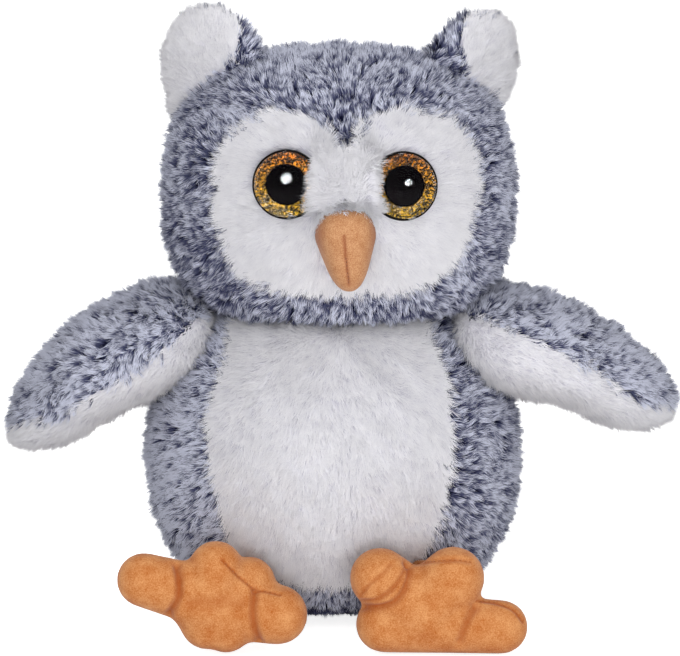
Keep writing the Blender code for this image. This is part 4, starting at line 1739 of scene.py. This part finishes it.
@dataclass
class Eye(Part):
    """One safety eye: backing cup, glitter disc, pupil and clear dome."""

    side: Side = Side.LEFT
    radius: float = 12 * MM
    rim: float = 0.7 * MM
    cup_floor: float = 1.0 * MM
    cup_height: float = 2.4 * MM
    disc_thickness: float = 0.6 * MM
    pupil_radius: float = 6.8 * MM
    pupil_height: float = 1.6 * MM
    dome_rise: float = 5.6 * MM
    gap: float = 0.1 * MM
    lash: float = 5.4 * MM
    lash_drop: float = math.radians(18)
    sunk: float = 0
    skin_under: float = 0.6 * MM
    skin_depth: float = 25 * MM
    lifted_depth: float = 4 * MM
    lifted_gap: float = 0.5 * MM
    lash_band: float = 2.6 * MM
    stem_radius: float = 2.3 * MM

    def __post_init__(self) -> None:
        """Finds the eye's axis from its CAD nodes."""
        name = self.side.value
        outer = node_points(f"eye_{name}_lens").mean(axis=0)
        inner = node_points(f"eye_{name}_washer").mean(axis=0)
        self.axis = Vector(outer - inner).normalized()
        depths = node_points(f"eye_{name}_iris") @ np.array(self.axis)
        centre = Vector(node_points(f"eye_{name}_iris").mean(axis=0))
        base = centre + self.axis * (float(depths.min()) - centre.dot(self.axis))
        seat = base - self.axis * (self.cup_floor + self.gap) - Vector((0, 0, self.sunk))
        turn = self.axis.to_track_quat("Z", "Y").to_matrix().to_4x4()
        self.place = Matrix.Translation(seat) @ turn

    def measured(self, points: Array) -> tuple[Array, Array, Array]:
        """Measures points against the dome.

        Args:
            points: Rows of points.

        Returns:
            Their distances from the eye's axis, heights along it and the dome's height there.
        """
        local = moved(points, self.place.inverted())
        across = np.hypot(local[:, 0], local[:, 1])
        top = self.cup_height + self.dome_rise * np.sqrt(1 - np.clip(across / self.radius, 0, 1) ** 2)
        return across, local[:, 2], top

    def holds(self, points: Array) -> Array:
        """True for points within the eye's round and under its dome."""
        across, height, top = self.measured(points)
        return (across < self.radius - self.skin_under) & (height > -self.skin_depth) & (height < top)

    def lifted(self, points: Array) -> Array:
        """Points, of which those inside the dome are moved out through it."""
        across, height, top = self.measured(points)
        within = (across < self.radius) & (height > -self.lifted_depth)
        rise = np.where(within, np.maximum(top + self.lifted_gap - height, 0), 0)
        return points + rise[:, None] * np.array(self.axis)

    def noseward(self, points: Array) -> tuple[Array, Array]:
        """Measures how points lie round the eye's axis.

        Args:
            points: Rows of points.

        Returns:
            Their distances from the axis, and how straight to the nose side and a little down they lie.
        """
        offset = points - np.array(self.place.translation)
        offset -= (offset @ np.array(self.axis))[:, None] * np.array(self.axis)
        across = np.linalg.norm(offset, axis=1)
        way = np.array([-self.side.sign * math.cos(self.lash_drop), 0, -math.sin(self.lash_drop)])
        return across, offset @ way / np.maximum(across, 1e-9)

    def nose_side(self, points: Array) -> Array:
        """True for points close round the eye on the side of the nose."""
        across, share = self.noseward(points)
        return (share > 0.36) & (across < self.radius + self.lash_band) & (points[:, 1] < 0)

    def nose_length(self, points: Array) -> Array:
        """Shares of hair length that end the fringe in a nearly straight line over the eye."""
        return np.clip((self.noseward(points)[1] - 0.3) / 0.6, 0.35, 1)

    def glint_way(self, pixel: Pixel) -> tuple[Vector, Vector]:
        """Finds where a glint belongs.

        Args:
            pixel: Where the photograph shows it.

        Returns:
            The place on the dome, and the way a lamp lies that glints there.
        """
        steps = np.linspace(-0.9, 0.9, 61) * self.radius
        u, v = (grid.ravel() for grid in np.meshgrid(steps, steps))
        u, v = u[np.hypot(u, v) < 0.95 * self.radius], v[np.hypot(u, v) < 0.95 * self.radius]
        rise = self.dome_rise * np.sqrt(1 - (u**2 + v**2) / self.radius**2)
        places = moved(np.stack([u, v, self.cup_height + rise], axis=1), self.place)
        best = np.argmin(np.linalg.norm(VIEW.pixels(places) - np.array(pixel), axis=1))
        slope = Vector((u[best] / self.radius**2, v[best] / self.radius**2, rise[best] / self.dome_rise**2))
        normal = (self.place.to_3x3() @ slope).normalized()
        place = Vector(places[best])
        seen = (Vector(VIEW.eye()) - place).normalized()
        return place, 2 * normal.dot(seen) * normal - seen

    def build(self) -> None:
        """Makes the four fittings that show."""
        name, inner = self.side.value, self.radius - self.rim
        stem = self.stem_radius
        cup = [
            (0, self.cup_floor), (inner, self.cup_floor), (inner, self.cup_height - 0.2 * MM),
            (inner + 0.2 * MM, self.cup_height), (self.radius - 0.2 * MM, self.cup_height),
            (self.radius, self.cup_height - 0.3 * MM), (self.radius, 0.5 * MM),
            (self.radius - 0.8 * MM, 0), (stem, 0), (stem, -14 * MM), (0, -15 * MM),
        ]
        low = self.cup_floor + self.gap
        disc_top = low + self.disc_thickness
        disc = [(0, low), (0, disc_top), (inner - self.gap, disc_top), (inner - self.gap, low), (0, low)]
        pupil_low = disc_top + 0.02 * MM
        pupil_top = low + self.pupil_height
        wide = self.pupil_radius
        pupil = [
            (0, pupil_low), (wide, pupil_low), (wide, pupil_top - 0.4 * MM), (wide - 0.4 * MM, pupil_top),
            (0, pupil_top + 0.1 * MM),
        ]
        bottom = disc_top + self.gap
        edge = bottom + 1.0 * MM
        rise = self.dome_rise
        arc = [math.radians(90 * step / 20) for step in range(21)]
        dome = [((inner - self.gap) * math.sin(a), edge + rise * math.cos(a)) for a in arc]
        lens = [*dome, (inner - self.gap, bottom), (0, bottom)]
        glitter = GlitterFinish(f"glitter_{name}", self.place.translation, inner)
        fittings = (
            ("backing", cup, BLACK_PLASTIC.material(), "black_plastic"),
            ("iris", disc, glitter.material(), "gold_glitter"),
            ("pupil", pupil, PUPIL_BLACK.material(), "black_plastic"),
            ("lens", lens, DomeFinish().material(), "clear_plastic"),
        )
        for part, profile, material, slot in fittings:
            piece = lathe(f"eye_{name}_{part}_fitting", profile, self.place)
            piece.data.materials.append(material)
            self.keep(piece, slot, (f"eye_{name}_{part}",))
        washer = frame["nodes"][f"eye_{name}_washer"]
        washer.data.materials.clear()
        washer.data.materials.append(WASHER_PLASTIC.material())


@dataclass
class Beak(Part):
    """The sewn beak: two velour cheeks that meet in a middle seam."""

    half_width: float = 10.5 * MM
    out: float = 17 * MM
    rise: float = 11.4 * MM
    drop: float = 18.5 * MM
    tilt: float = math.radians(14)
    below: float = 6 * MM
    taper: float = 0.56
    blunt: float = 7.0
    squareness: float = 2.6
    tip_shift: float = 1.2 * MM
    fringe_row: float = 209.5
    seam: Fold = Fold(
        ((344, 236), (345.5, 255), (347.5, 272), (349, 285)), 0.5 * MM, 0.5 * MM, 0.8, sewn=True
    )

    def settle(self, head: Head) -> None:
        """Finds the beak's place on the head, from its CAD nodes."""
        home = head.place.inverted()
        self.whole = Bulge(
            self.half_width, self.out, self.out, self.rise, self.drop, plan_power=self.squareness,
            up_power=2.3,
        )
        front = min(
            moved(node_points(f"beak_{side.value}_panel"), home)[:, 1].min() for side in Side
        )
        tilted = Matrix.Translation((0, 0, -self.below)) @ Matrix.Rotation(-self.tilt, 4, "X")
        reach = moved(self.whole.at(ball_ways()), tilted)[:, 1].min()
        self.place = head.place @ Matrix.Translation((0, front - reach, 0)) @ tilted

    def holds(self, points: Array) -> Array:
        """True for points of the head that the beak covers."""
        local = moved(points, self.place.inverted())
        return self.whole.level(local) < 0.8

    def lifted(self, points: Array) -> Array:
        """Points, of which those in the beak's upper half are moved out through it."""
        local = moved(points, self.place.inverted())
        level = self.whole.level(local)
        within = (level < 1.12) & (level > 0.3) & (local[:, 2] > 0.25 * self.rise)
        scale = np.where(within, np.sqrt(1.12 / np.maximum(level, 0.3)), 1)
        return moved(local * scale[:, None], self.place)

    def form(self, ways: Array) -> Array:
        """A round top that narrows in nearly straight sides to a blunt tip."""
        points = self.whole.at(ways)
        share = np.clip(-points[:, 2] / self.drop, 0, 1)
        ellipse = np.sqrt(np.maximum(1 - share**2, 1e-6))
        fuller = np.sqrt(np.maximum(1 - share**self.blunt, 1e-6)) * (1 - self.taper * share) / ellipse
        points[:, :2] *= fuller[:, None]
        points[:, 0] += self.tip_shift * share
        return points

    def build(self) -> None:
        """Makes the beak with its seam drawn in."""
        piece = ball("beak_cover", self.form, self.place, 64, 48)
        Stuffing(voxel=1.2 * MM, limit=0.3 * MM).fill(piece)
        press_folds(piece, (self.seam,))
        points, home = get_points(piece), self.place.inverted()
        local = moved(points, home)
        # painted shade: the beak's sides, turned from the light, are darkened through the crease attribute
        sides = smoothed((np.abs(local[:, 0]) - 0.6 * self.half_width) / (0.4 * self.half_width))
        layer = piece.data.attributes[CREASE_SHADE]
        shade = np.empty(len(points))
        layer.data.foreach_get("value", shade)
        layer.data.foreach_set("value", np.maximum(shade, 0.55 * sides))
        piece.data.materials.append(BEAK_VELOUR.material())
        self.keep(piece, "orange_velour", ("beak_left_panel", "beak_right_panel", "beak_stuffing"))
        brow = white_pile(
            "beak_fringe", 2600, 4.3 * MM, 0.62, scatter=0.24, lock_pull=0.4, swirl=0.15, softness=0.4,
            seed=18,
        )

        def above(points: Array) -> Array:
            """True over the top of the beak, on its front half."""
            return (ragged(points)[:, 1] < self.fringe_row) & (moved(points, home)[:, 1] < 2 * MM)

        self.keep(brow.plant(Surface.of(piece), above, along(Vector((0, -0.5, -1)))), "white_plush")
        lower_seam = Fold(self.seam.pixels[1:], sewn=True)
        threads = stitched("beak_stitches", piece, (lower_seam,), 1.3 * MM)
        threads.data.materials.append(THREAD.material())
        self.keep(threads, "orange_velour")


@dataclass
class Wing(Part):
    """One wing: a cover with grey pile above and white pile below."""

    side: Side = Side.LEFT
    pile_depth: float = 3.8 * MM
    root_radius: float = 18 * MM
    half_chord: float = 29 * MM
    length: float = 60 * MM
    tip_power: float = 2.3
    fullness: float = 0.1
    droop: float = math.radians(25)
    twist: float = math.radians(-6)
    bend: float = 0.0
    slimness: float = 0.2
    root_depth: float = 1 * MM
    root_reach: float = 24 * MM
    seam: tuple[Pixel, ...] = ()

    def __post_init__(self) -> None:
        """Finds the wing's place from its joint."""
        self.hinge = joint_place(f"wing_{self.side.value}_lift")
        turn = Matrix.Rotation(self.side.sign * (math.radians(90) + self.droop), 4, "Y")
        self.place = Matrix.Translation(self.hinge) @ turn

    def root_level(self, points: Array) -> Array:
        """Below one inside the wing's root, which stays put as the wing swings."""
        halves = np.array([self.root_radius, self.half_chord, self.root_radius])
        return ((moved(points, self.place.inverted()) / halves) ** 2).sum(axis=1)

    def build(self, body: Body, head: Head) -> None:
        """Makes the cover and plants its pile."""
        sign, name, depth = self.side.sign, self.side.value, self.pile_depth
        hinge, place = self.hinge, self.place
        form = Bulge(
            self.root_radius - depth, self.half_chord - depth, self.half_chord - depth,
            self.length - depth, self.root_reach, up_power=self.tip_power,
        )

        def shape(ways: Array) -> Array:
            """The wing's form, fuller in its middle, twisted and bent towards its tip."""
            points = form.at(ways)
            share = np.clip(points[:, 2] / self.length, 0, 1)
            fuller = 1 + self.fullness * np.sin(math.pi * share)
            fuller = fuller + (depth - self.root_depth) / self.root_radius * (1 - share) ** 2
            turn = sign * self.twist * share**2
            beneath = smoothed(sign * points[:, 0] / (4 * MM)) * np.exp(-(((share - 0.35) / 0.25) ** 2))
            x, y = points[:, 0] * fuller * (1 - self.slimness * beneath), points[:, 1] * fuller
            across = x * np.cos(turn) - y * np.sin(turn) + sign * self.bend * share**2
            return np.stack([across, x * np.sin(turn) + y * np.cos(turn), points[:, 2]], axis=1)

        cover = ball(f"wing_{name}_cover", shape, place, 64, 48)
        Stuffing(voxel=3 * MM, limit=0.8 * MM).fill(cover)
        home = place.inverted()
        shares, depths = self.seam_marks(cover)

        def under(points: Array) -> Array:
            """True below the line where the two colours meet."""
            local = moved(points, home)
            before = smoothed(0.5 - local[:, 1] / (0.8 * self.half_chord))
            line = before * np.interp(local[:, 2] / self.length, shares, depths)
            edge = 0.5 * ripple(points, 4 * MM, 5) + 0.8 * ripple(points, 0.9 * MM, 6)
            return local[:, 0] * sign > line + edge * MM

        paint_cover(cover, under)
        self.keep(
            cover, "grey_plush",
            (f"wing_{name}_upper_panel", f"wing_{name}_under_panel", f"wing_{name}_stuffing"),
        )
        surface = Surface.of(cover)
        root = hinge - (place.to_3x3() @ Vector((0, 0, 1))) * 30 * MM
        comb = away_from(root)

        def clear(points: Array) -> Array:
            """True outside the body and the head."""
            outside_body = body.form.level(moved(points, body.place.inverted())) > 0.9
            return outside_body & (head.form.level(moved(points, head.place.inverted())) > 0.85)

        # the upper pile's tone, paler than the head's, is painted light on the wings' tops
        upper = Pile(
            f"wing_{name}_upper_pile", GREY_PILE, 40000, length=6.3 * MM, lean=0.6, tone=0.64, seed=41 + sign
        )
        lower = white_pile(
            f"wing_{name}_under_pile", 30000, 6.0 * MM, 0.7, swirl=0.2, softness=0.7, seed=44 + sign
        )
        self.keep(upper.plant(surface, lambda p: ~under(p) & clear(p), comb), "grey_plush")
        self.keep(lower.plant(surface, lambda p: under(p) & clear(p), comb), "white_plush")

    def seam_marks(self, cover: bpy.types.Object) -> tuple[Array, Array]:
        """Where on the cover's front the photograph shows the two colours to meet.

        Args:
            cover: The wing's cover.

        Returns:
            Shares of the wing's length, rising, and how far below its middle the colours meet there.
        """
        eye, home = Vector(VIEW.eye()), self.place.inverted()
        bpy.context.view_layer.update()
        marks = []
        for pixel in open_curve(self.seam, 3):
            found, place, _, _ = cover.ray_cast(eye, (VIEW.place(pixel, 0) - eye).normalized())
            if found:
                local = home @ place
                marks.append((local.z / self.length, self.side.sign * local.x))
        return tuple(np.array(sorted(marks)).T)


@dataclass(frozen=True)
class Lobe:
    """A round lump of a foot, at a pixel of the photograph, drawn out towards another."""

    start: Pixel
    end: Pixel
    radius: float
    end_radius: float
    back: float = 0.0


@dataclass
class Foot(Part):
    """One velour foot: toes, heel and ankle in a single soft cover."""

    side: Side = Side.LEFT
    pad_y: float = -74 * MM
    lobes: tuple[Lobe, ...] = ()
    folds: tuple[Fold, ...] = ()

    def build(self) -> None:
        """Joins the lobes, rounds where they meet and blows the cover up."""
        name = self.side.value
        hip = joint_place(f"foot_{name}_tilt")
        parts = []
        for lobe in self.lobes:
            start = VIEW.place(lobe.start, self.pad_y + lobe.back)
            end = VIEW.place(lobe.end, self.pad_y)
            parts.append(self.drawn(start, lobe.radius, end, lobe.end_radius))
        middle = VIEW.place(self.lobes[0].end, self.pad_y)
        parts.append(self.drawn(hip, 7.0 * MM, middle, 9.0 * MM))
        bpy.ops.object.select_all(action="DESELECT")
        for part in parts:
            part.select_set(True)
        bpy.context.view_layer.objects.active = parts[0]
        bpy.ops.object.join()
        cover = parts[0]
        cover.name = f"foot_{name}_cover"
        apply(cover, "REMESH", mode="VOXEL", voxel_size=1.0 * MM)
        apply(cover, "SMOOTH", factor=0.5, iterations=6)
        points = get_points(cover)
        points[:, 2] = np.maximum(points[:, 2], 0.4 * MM)
        set_points(cover, points)
        Stuffing(voxel=1.3 * MM, limit=0.4 * MM).fill(cover)
        press_folds(cover, self.folds)
        points = get_points(cover)
        points[:, 2] = np.maximum(points[:, 2], 0.2 * MM)
        set_points(cover, points)
        cover.data.materials.append(ORANGE_VELOUR.material())
        self.keep(
            cover, "orange_velour",
            (f"foot_{name}_sole_panel", f"foot_{name}_upper_panel", f"foot_{name}_stuffing"),
        )
        threads = stitched(f"foot_{name}_stitches", cover, self.folds)
        threads.data.materials.append(PALE_THREAD.material())
        self.keep(threads, "orange_velour")

    def drawn(self, start: Vector, radius: float, end: Vector, end_radius: float) -> bpy.types.Object:
        """Makes a round-ended limb between two places.

        Args:
            start: The middle of one end.
            radius: That end's radius.
            end: The middle of the other end.
            end_radius: That end's radius.

        Returns:
            The limb.
        """
        axis = end - start
        turn = axis.normalized().to_track_quat("Z", "Y").to_matrix().to_4x4()
        length = axis.length

        def shape(ways: Array) -> Array:
            """Two half balls, moved apart."""
            share = (ways[:, 2] > 0).astype(float)[:, None]
            radii = radius + (end_radius - radius) * share
            return ways * radii + np.array([0, 0, 1]) * share * length

        return ball("limb", shape, Matrix.Translation(start) @ turn, 32, 24)


def feet() -> tuple[Foot, Foot]:
    """Describes both feet, with their lobes read off the photograph.

    Returns:
        The right foot and the left.
    """
    right = Foot(
        "foot_right", side=Side.RIGHT,
        lobes=(
            Lobe((144, 580), (205, 597), 9.5 * MM, 11.2 * MM),
            Lobe((216, 568), (206, 600), 9.6 * MM, 12.0 * MM),
            Lobe((277.5, 614.5), (225, 610), 10.5 * MM, 10.5 * MM),
            Lobe((226, 626), (205, 600), 9.4 * MM, 11.0 * MM),
            Lobe((207, 622), (200, 604), 9.6 * MM, 11.2 * MM),
            Lobe((249, 583), (226, 600), 9.4 * MM, 10.0 * MM, 4 * MM),
        ),
        folds=(
            Fold(((177, 566), (179, 582), (178, 598), (169, 614)), 1.8 * MM, 1.3 * MM, 0.8),
            Fold(((255, 592), (253, 606), (254, 624), (259, 642)), 1.5 * MM, 1.3 * MM, 0.75),
            Fold(((222, 560), (240, 578), (255, 591)), 0.5 * MM, 0.5 * MM, 0.8, sewn=True),
            Fold(((255, 591), (268, 592), (280, 595)), 0.4 * MM, 0.5 * MM, 0.7, sewn=True),
            Fold(((190, 603), (214, 604), (240, 601)), 0.9 * MM, 2.6 * MM, 0.25),
        ),
    )
    left = Foot(
        "foot_left", side=Side.LEFT,
        lobes=(
            Lobe((380, 578), (422, 612), 10.6 * MM, 12.0 * MM),
            Lobe((453, 578), (425, 605), 11.0 * MM, 12.0 * MM),
            Lobe((501, 627), (440, 624), 9.4 * MM, 10.2 * MM),
            Lobe((384, 624), (440, 624), 9.9 * MM, 10.2 * MM),
        ),
        folds=(
            Fold(((362, 607), (380, 607), (394, 602), (403, 592), (408, 580), (410, 569), (406, 563)),
                 1.4 * MM, 1.1 * MM, 0.7),
            Fold(((361, 601), (376, 600), (389, 592), (399, 581), (405, 570)), 0.9 * MM, 0.8 * MM, 0.6),
            Fold(((361, 594), (369, 585), (383, 573), (391, 564)), 0.5 * MM, 0.7 * MM, 0.45),
            Fold(((475, 607), (468, 619), (460, 641)), 1.2 * MM, 1.3 * MM, 0.6),
            Fold(((477, 601), (495, 603), (513, 610), (523, 622)), 0.5 * MM, 0.5 * MM, 0.8, sewn=True),
            Fold(((408, 565), (428, 562), (455, 560), (470, 562)), 0.5 * MM, 0.7 * MM, 0.5, sewn=True),
        ),
    )
    return right, left


@dataclass(frozen=True)
class Lamp:
    """A square soft lamp: where it hangs, how big, how strong, and what it reaches."""

    name: str
    place: tuple[float, float, float]
    size: float
    power: float
    mirrored: bool = False
    lights: bool = True
    roll: float = 0.0
    shape: str = "SQUARE"

    def build(self, aim: Vector, reached: Sequence[bpy.types.Object] = ()) -> None:
        """Hangs the lamp, turned to its aim.

        Args:
            aim: The place that it faces.
            reached: The only pieces that it lights; all of them when none is given.
        """
        data = bpy.data.lights.new(self.name, "AREA")
        data.shape = self.shape
        data.size = self.size
        data.energy = self.power
        lamp = bpy.data.objects.new(self.name, data)
        facing = (Vector(self.place) - aim).to_track_quat("Z", "Y").to_matrix().to_4x4()
        turned = facing @ Matrix.Rotation(self.roll, 4, "Z")
        lamp.matrix_world = Matrix.Translation(self.place) @ turned
        lamp.visible_glossy = self.mirrored
        lamp.visible_diffuse = self.lights
        lamp.visible_camera = False
        bpy.context.scene.collection.objects.link(lamp)
        if reached:
            only_these = bpy.data.collections.new(f"{self.name}_pieces")
            for piece in reached:
                only_these.objects.link(piece)
            lamp.light_linking.receiver_collection = only_these


@dataclass
class Studio:
    """A pale floor and soft lamps."""

    lamps: tuple[Lamp, ...] = (
        Lamp("key_lamp", (-0.3, -1.3, 0.95), 0.9, 5.2),
        Lamp("fill_lamp", (0.9, -1.2, 0.25), 0.9, 3.9),
        Lamp("top_lamp", (0.0, 0.1, 1.3), 1.0, 4.0),
        Lamp("low_lamp", (0.1, -1.6, 0.08), 0.7, 16.0),
    )
    aim: tuple[float, float, float] = (0, 0, 0.1)
    floor_size: float = 8
    glint_distance: float = 1.1
    ambient: float = 0.6
    floor_glow: float = 0.8

    def build(self) -> None:
        """Adds the floor, the lamps and the world."""
        bpy.context.scene.view_settings.view_transform = "Standard"
        bpy.ops.object.select_all(action="DESELECT")
        bpy.ops.mesh.primitive_plane_add(size=self.floor_size)
        floor = bpy.context.object
        floor.name = "studio_floor"
        floor.data.materials.append(self.floor_material())
        for lamp in self.lamps:
            lamp.build(Vector(self.aim))
        self.world()

    def glints(self, eyes: Sequence[Eye]) -> None:
        """Hangs the two small lamps that glint in the domes, where the photograph shows them."""
        shapes = {
            Side.RIGHT: ((287, 177), 0.34, 90.0, "SQUARE", math.radians(35)),
            Side.LEFT: ((408, 182), 0.24, 50.0, "DISK", 0.0),
        }
        for eye in eyes:
            pixel, size, power, shape, roll = shapes[eye.side]
            place, way = eye.glint_way(pixel)
            spot = tuple(place + way * self.glint_distance)
            name = f"glint_{eye.side.value}"
            Lamp(name, spot, size, power, True, False, roll, shape).build(place, eye.made[-1:])

    def floor_material(self) -> bpy.types.Material:
        """Pale floor that reads white to the camera and keeps the toy's shadow."""
        recipe = Recipe("pale_floor")
        recipe.set(base_color=(0.9, 0.9, 0.9, 1), roughness=0.9)
        glow = recipe.node("ShaderNodeMath", operation="MULTIPLY")
        recipe.link(self.seen(recipe.tree), glow.inputs[0])
        glow.inputs[1].default_value = self.floor_glow
        recipe.set(emission_color=(1, 1, 1, 1))
        recipe.link(glow.outputs[0], recipe.shader.inputs["Emission Strength"])
        return recipe.material

    @staticmethod
    def seen(tree: bpy.types.NodeTree) -> bpy.types.NodeSocket:
        """One for what the camera sees, straight or through gloss and glass."""
        path = tree.nodes.new("ShaderNodeLightPath")
        total = path.outputs["Is Camera Ray"]
        for name in ("Is Glossy Ray", "Is Transmission Ray"):
            either = tree.nodes.new("ShaderNodeMath")
            either.operation = "MAXIMUM"
            tree.links.new(total, either.inputs[0])
            tree.links.new(path.outputs[name], either.inputs[1])
            total = either.outputs[0]
        return total

    def world(self) -> None:
        """A white surround, brighter to the camera than to the toy."""
        world = bpy.data.worlds.new("studio_world")
        bpy.context.scene.world = world
        world.use_nodes = True
        tree = world.node_tree
        ground = tree.nodes["Background"]
        ground.inputs["Color"].default_value = (1, 1, 1, 1)
        strength = tree.nodes.new("ShaderNodeMapRange")
        tree.links.new(self.seen(tree), strength.inputs["Value"])
        strength.inputs["To Min"].default_value = self.ambient
        strength.inputs["To Max"].default_value = 1.0
        tree.links.new(strength.outputs[0], ground.inputs["Strength"])


def main() -> None:
    """Builds every sub-assembly in order."""
    logging.basicConfig(level=logging.INFO, format="%(message)s")
    VIEW.build()
    studio = Studio()
    studio.build()
    eyes = [
        Eye("head", side=Side.LEFT, lash=4.5 * MM, sunk=0.9 * MM),
        Eye("head", side=Side.RIGHT, lash=6.1 * MM),
    ]
    head, beak = Head("head"), Beak("head")
    beak.settle(head)
    head.build(eyes, beak)
    for eye in eyes:
        eye.build()
    studio.glints(eyes)
    beak.build()
    parts: list[Part] = [head, *eyes, beak]
    ears = (
        Ear(
            "head", side=Side.LEFT, out=44.4 * MM, half_width=21 * MM, above=39.5 * MM, lean=math.radians(23),
            tip_power=1.9,
            white_corners=(
                (466, -6), (500, -14), (545, 0), (545, 60), (540, 130), (512, 124), (488, 100), (465, 80),
                (463, 40),
            ),
        ),
        Ear(
            "head", side=Side.RIGHT, out=42.4 * MM, half_width=23.1 * MM, lean=math.radians(11),
            white_corners=(
                (140, 70), (145, 10), (190, -20), (232, -4), (239, 18), (237, 45), (230, 62), (200, 95),
                (172, 128), (150, 140),
            ),
        ),
    )
    for ear in ears:
        ear.build(head)
        parts.append(ear)
    wings = (
        Wing(
            "wing_left", side=Side.LEFT, droop=math.radians(22.2), length=62.6 * MM, bend=3.3 * MM,
            fullness=0.15, slimness=0.27,
            seam=(
                (470, 318), (483, 318), (504, 329), (526, 337), (547, 346), (575, 360), (593, 369),
                (613, 386), (639, 399), (664, 402), (676, 407),
            ),
        ),
        Wing(
            "wing_right", side=Side.RIGHT, droop=math.radians(30.1), twist=math.radians(10), length=63 * MM,
            bend=7 * MM, fullness=0.25, tip_power=1.88,
            seam=(
                (5, 429), (30, 417), (61, 413), (93, 396), (116, 381), (146, 361), (176, 341), (194, 321),
                (205, 317),
            ),
        ),
    )
    body = Body("body")
    body.build(wings)
    parts.append(body)
    for wing in wings:
        wing.build(body, head)
        parts.append(wing)
    for foot in feet():
        foot.build()
        parts.append(foot)
    for part in parts:
        part.report()


if __name__ == "__main__":
    main()
